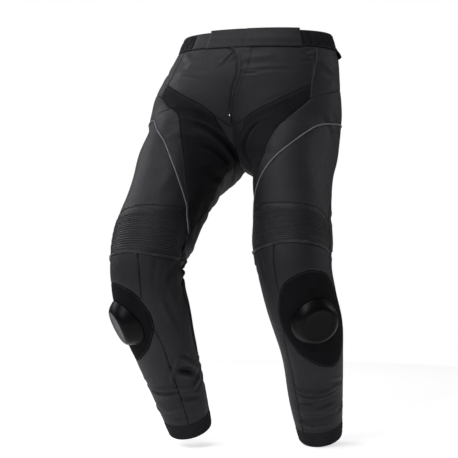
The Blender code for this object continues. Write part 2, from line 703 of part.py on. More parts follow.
def band_outline(start, end, top, foot):
    """A rectangle in (around, along), with points about SEAM_STEP apart round the body."""
    half_girth = 0.5
    steps = max(round(abs(end - start) * half_girth / SEAM_STEP), 1)
    around = np.linspace(start, end, steps + 1)
    middle = (top + foot) / 2
    return np.concatenate([
        np.column_stack([around, np.full(len(around), top)]),
        [(end, middle)],
        np.column_stack([around[::-1], np.full(len(around), foot)]),
        [(start, middle)],
    ])


def sideways(side, curve, distance):
    """A curve's points moved this far across it, along the surface."""
    small = 0.001
    around, along = curve.T
    place = GARMENT.surface(side, around, along)
    by_around = GARMENT.surface(side, around + small, along) - place
    by_along = GARMENT.surface(side, around, along + small) - place
    ahead = unit(np.gradient(place, axis=0))
    across = np.cross(GARMENT.normals(side, around, along), ahead) * distance
    moved = np.empty_like(curve)
    for i in range(len(curve)):
        basis = np.column_stack([by_around[i], by_along[i]]) / small
        moved[i] = curve[i] + np.linalg.lstsq(basis, across[i], rcond=None)[0]
    return moved


def strip(side, curve, width, height):
    """A raised strip along a seam, lying on the walls beside it."""
    outline = np.concatenate([sideways(side, curve, width / 2), sideways(side, curve, -width / 2)[::-1]])
    base = WALL / 2 + OVERLAY_GAP
    return wall(side, outline, base, base + height)


def joined(side, names):
    curves = [seam_curve(name, side) for name in names]
    return np.concatenate([curves[0]] + [curve[1:] for curve in curves[1:]])


def disc(side, around, along, radius, plate_radius, rim, height, sides):
    """A round piece on the wall: its base follows the wall, and its flat top stands square to it."""
    middle = GARMENT.surface(side, np.array([around]), np.array([along]))[0]
    normal = GARMENT.normals(side, np.array([around]), np.array([along]))[0]
    small = 0.002
    by_around = (GARMENT.surface(side, np.array([around + small]), np.array([along]))[0] - middle) / small
    by_along = (GARMENT.surface(side, np.array([around]), np.array([along + small]))[0] - middle) / small
    right = unit(by_around - normal * (by_around @ normal))
    up = np.cross(normal, right)
    basis = np.column_stack([by_around, by_along])
    base_lift = WALL / 2 + DISC_GAP
    mesh = bmesh.new()

    def ring(distance, lift):
        made = []
        for i in range(sides):
            angle = 2 * math.pi * i / sides
            reach = distance * (math.cos(angle) * right + math.sin(angle) * up)
            step = np.linalg.lstsq(basis, reach, rcond=None)[0]
            place = (np.array([around + step[0]]), np.array([along + step[1]]))
            point = GARMENT.surface(side, *place)[0] + GARMENT.normals(side, *place)[0] * lift
            made.append(mesh.verts.new(point))
        return made

    def plate(distance, lift):
        turns = [2 * math.pi * i / sides for i in range(sides)]
        spokes = [math.cos(turn) * right + math.sin(turn) * up for turn in turns]
        return [mesh.verts.new(middle + normal * lift + distance * spoke) for spoke in spokes]

    base_rings = max(round(radius / SEAM_STEP), 1)
    rings = [ring(radius * (i + 1) / base_rings, base_lift) for i in range(base_rings)]
    rings += [
        ring(radius, base_lift + rim),
        plate(plate_radius, height - rim / 2),
        plate(plate_radius - rim, height),
    ]
    for lower, upper in zip(rings, rings[1:]):
        for i in range(sides):
            j = (i + 1) % sides
            mesh.faces.new((lower[i], lower[j], upper[j], upper[i]))
    under = mesh.verts.new(middle + normal * base_lift)
    over = mesh.verts.new(middle + normal * height)
    for i in range(sides):
        j = (i + 1) % sides
        mesh.faces.new((under, rings[0][j], rings[0][i]))
        mesh.faces.new((over, rings[-1][i], rings[-1][j]))
    return mesh


# %% Materials and objects

MATERIAL_COLUMNS = ("colour", "roughness", "metallic")
MATERIALS = {
    "leather": ((0.022, 0.022, 0.025), 0.42, 0.0),
    "stretch": ((0.009, 0.009, 0.011), 0.80, 0.0),
    "hook_patch": ((0.006, 0.006, 0.007), 0.90, 0.0),
    "elastic": ((0.010, 0.010, 0.011), 0.75, 0.0),
    "piping": ((0.110, 0.110, 0.115), 0.50, 0.0),
    "slider": ((0.012, 0.012, 0.013), 0.35, 0.0),
    "metal": ((0.600, 0.600, 0.610), 0.25, 1.0),
}
PANEL_MATERIALS = {"stretch_panel": "stretch", "calf_stretch": "stretch", "knee_patch": "hook_patch"}


def material_for(name, kind):
    colour, roughness, metallic = MATERIALS[kind]
    made = bpy.data.materials.new(name)
    made.use_nodes = True
    shader = made.node_tree.nodes["Principled BSDF"]
    shader.inputs["Base Color"].default_value = (*colour, 1.0)
    shader.inputs["Roughness"].default_value = roughness
    shader.inputs["Metallic"].default_value = metallic
    return made


def add_object(name, mesh, kind):
    data = bpy.data.meshes.new(name)
    bmesh.ops.triangulate(mesh, faces=mesh.faces[:])
    mesh.to_mesh(data)
    mesh.free()
    data.shade_smooth()
    data.set_sharp_from_angle(angle=math.radians(40))
    data.materials.append(material_for(name, kind))
    made = bpy.data.objects.new(name, data)
    bpy.context.scene.collection.objects.link(made)


def add_leg(side, ending):
    for name, seams in PANELS.items():
        if name != "knee_ribs":
            kind = PANEL_MATERIALS.get(name, "leather")
            add_object(name + ending, wall(side, outline_of(seams, side)), kind)
    add_object("knee_ribs" + ending, ribbed_wall(side), "leather")
    cuff = band_outline(0.0, 1.0, CUFF_TOP + SEAM_GAP, HEM)
    add_object("cuff" + ending, wall(side, cuff), "elastic")
    piping = joined(side, ("piping", "piping_end"))[:-1]
    add_object("thigh_piping" + ending, strip(side, piping, PIPING_WIDTH, PIPING_HEIGHT), "piping")
    welt = joined(side, ("ribs_foot_inner", "ribs_foot"))[1:-1]
    add_object("knee_welt" + ending, strip(side, welt, WELT_WIDTH, WELT_HEIGHT), "leather")
    place = (SLIDER_AROUND, SLIDER_ALONG)
    slider = disc(side, *place, SLIDER_RADIUS, SLIDER_PLATE_RADIUS, SLIDER_RIM, SLIDER_HEIGHT, SLIDER_SIDES)
    add_object("knee_slider" + ending, slider, "slider")


def add_gusset():
    brow = joined(+1, ("gusset_brow",))
    lower = seam_curve("gusset_side", +1)
    left = np.concatenate([brow[:-1], lower])
    brow = seam_curve("gusset_brow", -1)
    lower = seam_curve("gusset_side", -1)
    right = np.concatenate([brow, lower[1:-1]])
    right[:, 0] *= -1
    add_object("gusset", wall(+1, np.concatenate([left, right[:0:-1]])), "leather")


def add_waistband():
    """The front tab lies over the ends of the two side bands. The right one has a leather end."""
    foot = WAISTBAND_FOOT - SEAM_GAP
    tab = band_outline(TAB_RIGHT, TAB_LEFT, -TAB_RISE, foot)
    add_object("waistband_tab", wall(+1, tab, TAB_LIFT, TAB_LIFT + WALL), "leather")
    end = band_outline(-TAB_RIGHT - TAB_LAP, ADJUSTER_START, 0.0, foot)
    add_object("waistband_end", wall(-1, end), "leather")
    right = band_outline(ADJUSTER_START, ADJUSTER_END, 0.0, foot)
    add_object("adjuster_right", wall(-1, right), "elastic")
    left = band_outline(TAB_LEFT - TAB_LAP, ADJUSTER_END, 0.0, foot)
    add_object("adjuster_left", wall(+1, left), "elastic")
    back = band_outline(ADJUSTER_END, 2 - ADJUSTER_END, 0.0, foot)
    add_object("waistband_back", wall(+1, back), "leather")

    def flare(points):
        return FLAP_FLARE * ease((points[:, 1] - FLAP_TOP) / (FLAP_FOOT - FLAP_TOP))

    flap = band_outline(FLAP_START, 2 - FLAP_START, FLAP_TOP, FLAP_FOOT)
    base = WALL / 2 + OVERLAY_GAP
    add_object("connector_flap", wall(+1, flap, base, base + FLAP_THICKNESS, flare), "elastic")


def add_fly():
    base = WALL / 2 + OVERLAY_GAP
    outline = np.array(FLY_EDGE)
    add_object("fly_placket", wall(+1, outline, base, base + FLY_THICKNESS), "leather")
    stop = disc(-1, STOP_AROUND, STOP_ALONG, STOP_RADIUS, STOP_RADIUS, STOP_RIM, STOP_HEIGHT, STOP_SIDES)
    add_object("zip_stop", stop, "metal")


add_leg(+1, "_left")
add_leg(-1, "_right")
add_gusset()
add_waistband()
add_fly()
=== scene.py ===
# %% [markdown]
# # Leather motorcycle trousers
# Riding trousers are cut from some forty flat pieces of leather and stretch cloth, sewn edge to edge round
# bent knees. Here each piece is cut flat in the same way, laid on one smooth body-filled surface, and given
# its thickness, its seams, its creases and its grain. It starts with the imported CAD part, which fixes where
# everything is.

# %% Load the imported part
import math

import bmesh
import bpy
import numpy as np
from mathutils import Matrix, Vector


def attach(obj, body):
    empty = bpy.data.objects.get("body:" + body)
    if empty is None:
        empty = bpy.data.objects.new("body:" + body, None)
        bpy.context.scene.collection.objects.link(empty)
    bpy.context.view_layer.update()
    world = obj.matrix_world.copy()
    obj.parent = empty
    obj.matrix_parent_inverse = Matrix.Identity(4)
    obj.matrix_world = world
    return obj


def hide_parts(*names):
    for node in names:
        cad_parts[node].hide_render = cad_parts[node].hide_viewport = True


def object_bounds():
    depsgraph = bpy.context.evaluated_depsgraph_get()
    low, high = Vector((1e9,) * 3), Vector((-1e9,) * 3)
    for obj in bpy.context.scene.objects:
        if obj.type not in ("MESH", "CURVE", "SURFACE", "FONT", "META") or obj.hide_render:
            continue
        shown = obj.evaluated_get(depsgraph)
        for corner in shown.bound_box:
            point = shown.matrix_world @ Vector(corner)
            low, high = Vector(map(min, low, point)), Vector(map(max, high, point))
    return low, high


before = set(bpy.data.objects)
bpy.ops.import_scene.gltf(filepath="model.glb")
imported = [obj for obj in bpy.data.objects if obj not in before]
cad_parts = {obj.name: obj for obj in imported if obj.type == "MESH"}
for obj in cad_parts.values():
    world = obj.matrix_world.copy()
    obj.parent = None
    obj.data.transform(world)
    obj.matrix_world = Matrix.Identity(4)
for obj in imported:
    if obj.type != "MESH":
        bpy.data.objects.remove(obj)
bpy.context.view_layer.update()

# %% [markdown]
# ## The camera
# A long lens from 2.6 m away at mid height, turned 15 degrees round the wearer's left. It looks level, so
# upright lines stay upright, as in a catalogue picture.

# %% Camera
CAMERA_TURN = math.radians(15)
CAMERA_DISTANCE = 2.6
CAMERA_SIDEWAYS = -0.0667
CAMERA_HEIGHT = -0.4393
LENS = 88.85
SENSOR = 36.0


def new_object(name, data):
    made = bpy.data.objects.new(name, data)
    bpy.context.scene.collection.objects.link(made)
    return made


def add_camera():
    camera = new_object("camera", bpy.data.cameras.new("camera"))
    camera.data.lens, camera.data.sensor_width = LENS, SENSOR
    right = Vector((math.cos(CAMERA_TURN), math.sin(CAMERA_TURN), 0))
    ahead = Vector((-math.sin(CAMERA_TURN), math.cos(CAMERA_TURN), 0))
    camera.location = right * CAMERA_SIDEWAYS - ahead * CAMERA_DISTANCE + Vector((0, 0, CAMERA_HEIGHT))
    camera.rotation_euler = (math.pi / 2, 0, CAMERA_TURN)
    bpy.context.scene.camera = camera


add_camera()

# %% [markdown]
# ## The body-filled surface
# Worn trousers follow a body, so the whole garment lies on one smooth surface: rounded sections set along
# the hips and down each leg, joined by smooth curves. A point of it is given by a side (+1 is the wearer's
# left), `around` (0 at the centre front or inseam, 0.5 at the outer side, 1 at the centre back or inseam)
# and `along`, the metres down from the waist edge. The numbers are the CAD part's own.

# %% Sections of the hips and legs
RISE, THIGH, SHIN = 0.285, 0.290, 0.405
CROTCH, HEM = RISE, RISE + THIGH + SHIN
CROTCH_POINT = np.array([-0.042, -0.004, -0.285])
KNEE_POINT = {+1: np.array([0.109, -0.119, -0.528]), -1: np.array([-0.212, -0.196, -0.515])}
HEM_POINT = {+1: np.array([0.132, 0.070, -0.918]), -1: np.array([-0.156, -0.022, -0.899])}
CROTCH_NORMAL, CROTCH_ROUND = np.array([0.05, -0.37, -0.93]), 0.020
HIP_SWAY_DEPTH, KNEE_ARC = 0.240, 0.085
# along, half_width, spread, inner, front, back, centre_y, square
HIP_SECTIONS = (
    (0.000, 0.170, 0.000, 0.170, 0.106, 0.106, 0.000, 2.15),
    (0.050, 0.187, 0.004, 0.180, 0.114, 0.118, 0.000, 2.15),
    (0.110, 0.204, 0.022, 0.176, 0.120, 0.134, 0.000, 2.15),
    (0.170, 0.219, 0.048, 0.158, 0.122, 0.142, 0.000, 2.15),
    (0.230, 0.227, 0.078, 0.130, 0.126, 0.138, -0.002, 2.10),
)
# below_crotch, outer, inner, front, back, square
LEG_SECTIONS = (
    (0.000, 0.108, 0.116, 0.142, 0.130, 2.10),
    (0.050, 0.096, 0.089, 0.133, 0.120, 2.10),
    (0.110, 0.089, 0.081, 0.117, 0.110, 2.10),
    (0.170, 0.086, 0.083, 0.102, 0.098, 2.10),
    (0.230, 0.086, 0.087, 0.094, 0.086, 2.10),
    (0.290, 0.079, 0.080, 0.089, 0.080, 2.10),
    (0.350, 0.082, 0.073, 0.081, 0.080, 2.10),
    (0.420, 0.087, 0.067, 0.074, 0.078, 2.10),
    (0.500, 0.078, 0.060, 0.065, 0.073, 2.05),
    (0.600, 0.064, 0.057, 0.055, 0.060, 2.00),
    (0.695, 0.050, 0.049, 0.048, 0.050, 2.00),
)


def unit(vector):
    return vector / np.linalg.norm(vector, axis=-1, keepdims=True)


def ease(t):
    t = np.clip(t, 0.0, 1.0)
    return t * t * (3 - 2 * t)


def rise(value, low, high):
    """0 up to low, 1 from high on, and a smooth step between them."""
    return ease((value - low) / (high - low))


def bell(t):
    return np.exp(-(t**2))


class Track:
    """A smooth curve through rows of numbers, read at any place along it."""

    def __init__(self, places, rows):
        self.places, self.rows = np.asarray(places, float), np.asarray(rows, float)
        step = np.diff(self.places)[:, None]
        slope = np.diff(self.rows, axis=0) / step
        inner = (slope[:-1] * step[1:] + slope[1:] * step[:-1]) / (step[1:] + step[:-1])
        self.slopes = np.concatenate([2 * slope[:1] - inner[:1], inner, 2 * slope[-1:] - inner[-1:]])

    def at(self, place):
        place = np.clip(place, self.places[0], self.places[-1])
        i = np.clip(np.searchsorted(self.places, place, side="right") - 1, 0, len(self.places) - 2)
        step = (self.places[i + 1] - self.places[i])[..., None]
        t = (place - self.places[i])[..., None] / step
        near = (1 + 2 * t) * (1 - t) ** 2 * self.rows[i] + t * (1 - t) ** 2 * step * self.slopes[i]
        far = t * t * (3 - 2 * t) * self.rows[i + 1] - t * t * (1 - t) * step * self.slopes[i + 1]
        return near + far


def sway(height):
    """How far the centre line has moved sideways at this height."""
    return CROTCH_POINT[0] * ease(-height / HIP_SWAY_DEPTH)


def leg_frame(side):
    """The thigh's start, its direction, and the front and outward directions of its first section."""
    inner = LEG_SECTIONS[0][2]
    start = CROTCH_POINT + np.array([side * inner, 0.0, 0.02])
    for _ in range(5):
        down = unit(KNEE_POINT[side] - start)
        front = unit(np.array([0.0, down[2], -down[1]]))
        outward = np.cross(front, down)
        outward *= math.copysign(1.0, outward[0] * side)
        start = CROTCH_POINT + inner * outward
    return start, down, front, outward


def hip_rows(side, leg_front, leg_outward):
    for along, half_width, spread, inner, front, back, centre_y, square in HIP_SECTIONS:
        share = along / RISE
        turn = share**1.5
        forward = unit((1 - turn) * np.array([0.0, -1.0, 0.0]) + turn * leg_front)
        outward = unit((1 - turn) * np.array([side, 0.0, 0.0]) + turn * leg_outward)
        height = share * CROTCH_POINT[2]
        centre = np.array([sway(height), centre_y, height]) + outward * spread
        yield [along, *centre, *outward, *forward, half_width - spread, inner, front, back, square]


def leg_rows(side, start, thigh, first_front, first_outward):
    knee = KNEE_POINT[side]
    shin = unit(HEM_POINT[side] - knee)
    thigh_scale = np.linalg.norm(knee - start) / THIGH
    shin_scale = np.linalg.norm(HEM_POINT[side] - knee) / SHIN
    arc_start = knee - thigh * KNEE_ARC * thigh_scale
    arc_end = knee + shin * KNEE_ARC * shin_scale
    for below, outer, inner, front, back, square in LEG_SECTIONS:
        past_knee = below - THIGH
        if past_knee <= -KNEE_ARC:
            centre, down = start + (knee - start) * below / THIGH, thigh
        elif past_knee >= KNEE_ARC:
            centre, down = knee + shin * past_knee * shin_scale, shin
        else:
            t = (past_knee + KNEE_ARC) / (2 * KNEE_ARC)
            centre = (1 - t) ** 2 * arc_start + 2 * t * (1 - t) * knee + t * t * arc_end
            down = unit((1 - t) * (knee - arc_start) + t * (arc_end - knee))
        knee_front = unit(np.cross(np.cross(down, thigh - shin), down))
        turn = 1 - (1 - min(below / (THIGH - KNEE_ARC), 1.0)) ** 2
        own_front = unit(first_front - down * (first_front @ down))
        forward = unit((1 - turn) * own_front + turn * knee_front)
        outward = np.cross(forward, down)
        outward *= math.copysign(1.0, outward @ first_outward)
        yield [CROTCH + below, *centre, *outward, *forward, outer, inner, front, back, square]


# %% [markdown]
# ## The deep folds
# The largest folds of the worn leather are part of the CAD form: behind the knees, at the groin and round
# the ankles. The last seven rows are only here: broad, shallow swells and hollows where the cloth has
# settled. The cloth has also crept a little down the bent right leg and up the left one, which moves the
# knee pieces against the knees.

# %% Folds, and one half of the garment
# side, around, along, half_length, slope, half_width, height
FOLDS = (
    (+1, 0.83, 0.540, 0.070, -0.10, 0.012, -0.007),
    (+1, 0.81, 0.570, 0.080, 0.06, 0.012, -0.008),
    (+1, 0.84, 0.600, 0.070, 0.14, 0.013, -0.005),
    (-1, 0.86, 0.540, 0.080, -0.06, 0.012, -0.008),
    (-1, 0.83, 0.575, 0.085, 0.08, 0.012, -0.009),
    (-1, 0.86, 0.610, 0.070, 0.16, 0.013, -0.006),
    (+1, 0.12, 0.330, 0.055, 0.35, 0.014, -0.004),
    (-1, 0.12, 0.325, 0.060, 0.35, 0.014, -0.005),
    (+1, 0.24, 0.868, 0.060, 0.02, 0.010, -0.003),
    (+1, 0.26, 0.905, 0.055, -0.10, 0.010, -0.003),
    (-1, 0.22, 0.880, 0.060, 0.05, 0.010, -0.003),
    (+1, 0.80, 0.860, 0.060, 0.05, 0.012, -0.003),
    (-1, 0.80, 0.870, 0.060, -0.05, 0.012, -0.003),
    (-1, 0.90, 0.405, 0.080, 0.00, 0.080, -0.009),
    (-1, 0.60, 0.140, 0.090, 0.00, 0.060, -0.006),
    (+1, 0.95, 0.760, 0.060, 0.00, 0.090, -0.005),
    # settling at the hips, the inner thighs and the left shin
    (-1, 0.37, 0.215, 0.055, 0.00, 0.045, -0.0080),
    (-1, 0.35, 0.360, 0.055, 0.00, 0.038, 0.0055),
    (-1, 0.945, 0.316, 0.060, 0.00, 0.045, -0.0150),
    (+1, 1.00, 0.326, 0.050, 0.00, 0.034, -0.0100),
    (+1, 0.00, 0.326, 0.050, 0.00, 0.034, -0.0100),
    (+1, 0.08, 0.765, 0.050, 0.00, 0.085, -0.0060),
    (+1, 0.50, 0.190, 0.060, 0.00, 0.060, 0.0050),
)
GIRTH = 0.5  # a mean girth in metres, by which `around` is laid flat
KNEE_CREEP, CREEP_START, CREEP_END = 0.0175, (0.330, 0.450), (0.550, 0.800)
EVEN_FROM, EVEN_OVER = 0.03, 0.33  # metres down, where angles start to be spread evenly
FINE_FROM = 0.2  # below this level the cut at the centre plane is found in finer steps


def creep(side, along):
    """How far down the leg's sections the cloth lies below its place in the pattern."""
    return -side * KNEE_CREEP * rise(along, *CREEP_START) * (1 - rise(along, *CREEP_END))


def fold_height(side, around, along):
    total = np.zeros_like(along)
    for fold_side, middle, level, half_length, slope, half_width, height in FOLDS:
        if fold_side == side:
            sideways = (around - middle) * GIRTH
            across = along - level - slope * sideways
            total += height * np.exp(-((sideways / half_length) ** 4) - (across / half_width) ** 2)
    return total


class Half:
    """One half of the garment: its sections, and where the centre plane cuts those above the crotch."""

    def __init__(self, side):
        self.side = side
        start, thigh, front, outward = leg_frame(side)
        rows = np.array([*hip_rows(side, front, outward), *leg_rows(side, start, thigh, front, outward)])
        self.track = Track(rows[:, 0], rows[:, 1:])
        self.heights = np.concatenate(
            [np.linspace(0, FINE_FROM, 80, endpoint=False), np.linspace(FINE_FROM, RISE, 200)]
        )
        self.cut = {end: self.cut_angles(end) for end in (+1, -1)}

    def ring(self, angle, along):
        row = self.track.at(along)
        centre, outward, forward = row[:, 0:3], unit(row[:, 3:6]), row[:, 6:9]
        forward = unit(forward - outward * (forward * outward).sum(1, keepdims=True))
        outer, inner, front, back, square = row[:, 9:14].T
        cosine, sine = np.cos(angle), np.sin(angle)
        reach = np.where(cosine >= 0, outer, inner) * np.sign(cosine) * np.abs(cosine) ** (2 / square)
        depth = np.where(sine >= 0, front, back) * np.sign(sine) * np.abs(sine) ** (2 / square)
        return centre + outward * reach[:, None] + forward * depth[:, None], centre

    def cut_angles(self, end):
        angles = np.linspace(math.pi / 3, math.pi, 480)
        found = []
        for along in self.heights:
            points, _ = self.ring(end * angles, np.full_like(angles, along))
            beyond = (points[:, 0] - sway(points[:, 2])) * self.side
            crossed = np.flatnonzero((beyond[:-1] > 0) & (beyond[1:] <= 0))
            if len(crossed):
                i = crossed[0]
                part = beyond[i] / (beyond[i] - beyond[i + 1])
                found.append(angles[i] + part * (angles[i + 1] - angles[i]))
            else:
                found.append(math.pi)
        found[-1] = math.pi
        return np.array(found)

    def points(self, around, along):
        share = 1 - 2 * around
        even = 0.5 + 0.5 * ease((along - EVEN_FROM) / EVEN_OVER)
        limit = np.where(
            share >= 0,
            np.interp(along, self.heights, self.cut[+1], right=math.pi),
            np.interp(along, self.heights, self.cut[-1], right=math.pi),
        )
        angle = math.pi * share * (even + (limit / math.pi - even) * share**2)
        place, centre = self.ring(angle, along)
        return place + unit(place - centre) * fold_height(self.side, around, along)[:, None]


# %% [markdown]
# The two halves meet at the centre front and the centre back. Where they differ a little, both are moved
# half way, and the shift fades out sideways, as cloth takes up a small mismatch.

# %% The whole surface
class Garment:
    MEND_WIDTH = 0.30

    def __init__(self):
        self.half = {+1: Half(+1), -1: Half(-1)}
        self.heights = self.half[+1].heights
        zeros = np.zeros_like(self.heights)
        self.mend = {}
        for end, around in ((0, zeros), (1, zeros + 1)):
            edges = {side: self.half[side].points(around, self.heights) for side in (+1, -1)}
            middle = (edges[+1] + edges[-1]) / 2
            for side in (+1, -1):
                self.mend[side, end] = middle - edges[side]

    def one_side(self, side, around, along):
        place = self.half[side].points(around, along)
        for end, distance in ((0, around), (1, 1 - around)):
            weight = 1 - ease(distance / self.MEND_WIDTH)
            for axis in range(3):
                shift = np.interp(along, self.heights, self.mend[side, end][:, axis], right=0.0)
                place[:, axis] += weight * shift
        return place

    def own_place(self, around, along):
        """(wrapped around, whether it lies on the other half)"""
        above = along <= CROTCH
        over_front, over_back = around < 0, around > 1
        wrapped = np.where(over_front, np.where(above, -around, 1 + around), around)
        wrapped = np.where(over_back, np.where(above, 2 - around, around - 1), wrapped)
        return wrapped, above & (over_front | over_back)

    def surface(self, side, around, along):
        around, along = np.broadcast_arrays(np.asarray(around, float), np.asarray(along, float))
        wrapped, other = self.own_place(around, along)
        level = np.clip(along, 0.0, HEM)
        place = np.empty((len(along), 3))
        for half_side, chosen in ((side, ~other), (-side, other)):
            if chosen.any():
                settled = level[chosen] + creep(half_side, level[chosen])
                place[chosen] = self.one_side(half_side, wrapped[chosen], settled)
        place[:, 2] += np.maximum(-along, 0.0)
        return place

    def normals(self, side, around, along):
        """Outward directions. Near the crotch point, where many pieces meet, they turn to one."""
        small = 0.0015
        across = self.surface(side, around + small, along) - self.surface(side, around - small, along)
        level = np.clip(along, small, np.where(along < CROTCH, CROTCH, HEM) - small)
        downwards = self.surface(side, around, level + small) - self.surface(side, around, level - small)
        outward = unit(np.cross(downwards, across)) * side
        distance = np.linalg.norm(self.surface(side, around, along) - CROTCH_POINT, axis=1)
        near = bell(distance / CROTCH_ROUND)[:, None]
        return unit(outward * (1 - near) + near * CROTCH_NORMAL)


GARMENT = Garment()


def on_garment(side, points):
    """(places, outward directions) of (around, along) points"""
    around, along = points.T
    return GARMENT.surface(side, around, along), GARMENT.normals(side, around, along)


print("waist edge at the side:", GARMENT.surface(+1, np.array([0.5]), np.array([0.0]))[0].round(3))

# %% [markdown]
# ## The pattern
# Every cut piece is a loop of seams. Each seam is a curve of (around, along) points between two junctions,
# so that two neighbours share exactly the same edge, as they do on the sewing table.

# %% Seams
WAISTBAND_FOOT = 0.0400
CUFF_TOP = HEM - 0.035
HIP_FRONT, HIP_BACK = (0.30, WAISTBAND_FOOT), (0.60, WAISTBAND_FOOT)
CENTRE_FRONT, CENTRE_BACK = (0.00, WAISTBAND_FOOT), (1.00, WAISTBAND_FOOT)
STRETCH_TOP, STRETCH_SIDE = (0.30, 0.140), (0.32, 0.185)
GUSSET_TIP, GUSSET_SIDE = (0.00, 0.252), (0.09, 0.250)
CROTCH_FRONT, CROTCH_BACK = (0.00, CROTCH), (1.00, CROTCH)
HIP_SEAM_END, PIPING_SIDE = (0.60, 0.125), (0.60, 0.205)
RIBS_CORNER, STRETCH_FOOT = (0.055, 0.443), (0.00, 0.470)
PIPING_FOOT, RIBS_FOOT = (0.00, 0.487), (0.00, 0.545)
RIBS_SIDE_TOP, RIBS_SIDE_FOOT = (0.46, 0.500), (0.46, 0.562)
KNEE_SEAM_TOP, PATCH_INNER, PATCH_OUTER = (0.197, 0.547), (0.192, 0.622), (0.475, 0.622)
SHIN_SEAM_TOP, PATCH_BACK = (0.172, 0.690), (0.500, 0.720)
CALF_OUTER, CALF_INNER = (0.70, 0.530), (0.955, 0.535)
CALF_FOOT_OUTER, CALF_FOOT_INNER = (0.72, 0.800), (0.935, 0.800)
CUFF_SHIN, CUFF_OUTER = (0.150, CUFF_TOP), (0.480, CUFF_TOP)
CUFF_CALF, CUFF_INNER = (0.730, CUFF_TOP), (0.930, CUFF_TOP)
SEAMS = {
    "band_front": (CENTRE_FRONT, (0.15, WAISTBAND_FOOT), HIP_FRONT),
    "band_side": (HIP_FRONT, (0.45, WAISTBAND_FOOT), HIP_BACK),
    "band_back": (HIP_BACK, (0.80, WAISTBAND_FOOT), CENTRE_BACK),
    "centre_front": (CENTRE_FRONT, (0.00, 0.150), GUSSET_TIP),
    "centre_back": (CENTRE_BACK, (1.00, 0.160), CROTCH_BACK),
    "hip_front": (HIP_FRONT, (0.295, 0.090), STRETCH_TOP),
    "stretch_end": (STRETCH_TOP, STRETCH_SIDE),
    "hip_back": (HIP_BACK, (0.60, 0.080), HIP_SEAM_END),
    "crescent_end": (HIP_SEAM_END, PIPING_SIDE),
    "hip_foot": (STRETCH_SIDE, (0.38, 0.162), (0.49, 0.136), HIP_SEAM_END),
    "stretch_brow": (GUSSET_SIDE, (0.175, 0.210), (0.240, 0.170), STRETCH_TOP),
    "gusset_brow": (GUSSET_TIP, (0.045, 0.253), GUSSET_SIDE),
    "gusset_side": (GUSSET_SIDE, (0.083, 0.268), (0.050, 0.280), CROTCH_FRONT),
    "inseam_stretch": (CROTCH_FRONT, (-0.050, 0.326), (-0.072, 0.352), (-0.062, 0.400), STRETCH_FOOT),
    "inseam_crescent": (STRETCH_FOOT, PIPING_FOOT),
    "inseam_ribs": (PIPING_FOOT, RIBS_FOOT),
    "stretch_hem": (
        STRETCH_SIDE, (0.283, 0.231), (0.252, 0.276), (0.220, 0.310), (0.185, 0.338), (0.120, 0.381),
        (0.055, 0.430), STRETCH_FOOT,
    ),
    "piping": (
        PIPING_SIDE, (0.500, 0.222), (0.400, 0.255), (0.340, 0.298), (0.285, 0.332), (0.190, 0.378),
        (0.110, 0.415), RIBS_CORNER,
    ),
    "piping_end": (RIBS_CORNER, (0.025, 0.470), PIPING_FOOT),
    "thigh_side": (PIPING_SIDE, (0.585, 0.300), (0.540, 0.390), (0.475, 0.465), RIBS_SIDE_TOP),
    "ribs_top": (RIBS_CORNER, (0.125, 0.463), (0.215, 0.474), (0.310, 0.480), (0.400, 0.482), RIBS_SIDE_TOP),
    "ribs_side": (RIBS_SIDE_TOP, RIBS_SIDE_FOOT),
    "ribs_foot_inner": (RIBS_FOOT, (0.100, 0.548), KNEE_SEAM_TOP),
    "ribs_foot": (KNEE_SEAM_TOP, (0.300, 0.548), (0.390, 0.553), RIBS_SIDE_FOOT),
    "knee_seam": (KNEE_SEAM_TOP, (0.185, 0.585), PATCH_INNER),
    "knee_side": (RIBS_SIDE_FOOT, (0.466, 0.592), PATCH_OUTER),
    "patch_top": (PATCH_INNER, (0.212, 0.609), (0.250, 0.599), (0.330, 0.591), (0.424, 0.600), PATCH_OUTER),
    "patch_inner": (PATCH_INNER, (0.172, 0.640), (0.163, 0.662), SHIN_SEAM_TOP),
    "patch_foot": (
        SHIN_SEAM_TOP, (0.215, 0.722), (0.250, 0.743), (0.320, 0.772), (0.400, 0.783), (0.460, 0.764),
        PATCH_BACK,
    ),
    "patch_outer": (PATCH_OUTER, (0.515, 0.670), PATCH_BACK),
    "shin_inner": (SHIN_SEAM_TOP, (0.153, 0.740), (0.150, 0.850), CUFF_SHIN),
    "shin_outer": (PATCH_BACK, (0.490, 0.800), CUFF_OUTER),
    "knee_back_outer": (RIBS_SIDE_FOOT, (0.580, 0.550), CALF_OUTER),
    "knee_back": (CALF_OUTER, (0.830, 0.515), CALF_INNER),
    "knee_back_inner": (CALF_INNER, (1.00, 0.545)),
    "calf_inner": (CALF_INNER, (0.965, 0.680), CALF_FOOT_INNER),
    "calf_outer": (CALF_OUTER, (0.690, 0.650), CALF_FOOT_OUTER),
    "calf_foot": (CALF_FOOT_OUTER, (0.830, 0.825), CALF_FOOT_INNER),
    "heel_outer": (CALF_FOOT_OUTER, CUFF_CALF),
    "heel_inner": (CALF_FOOT_INNER, CUFF_INNER),
    "seat_foot": (PIPING_SIDE, (0.700, 0.248), (0.800, 0.276), (0.900, 0.292), CROTCH_BACK),
    "cuff_shin": (CUFF_SHIN, (0.300, CUFF_TOP), CUFF_OUTER),
    "cuff_outer": (CUFF_OUTER, CUFF_CALF),
    "cuff_calf": (CUFF_CALF, CUFF_INNER),
    "cuff_inner": (CUFF_INNER, (1.050, CUFF_TOP), (1.150, CUFF_TOP)),
}
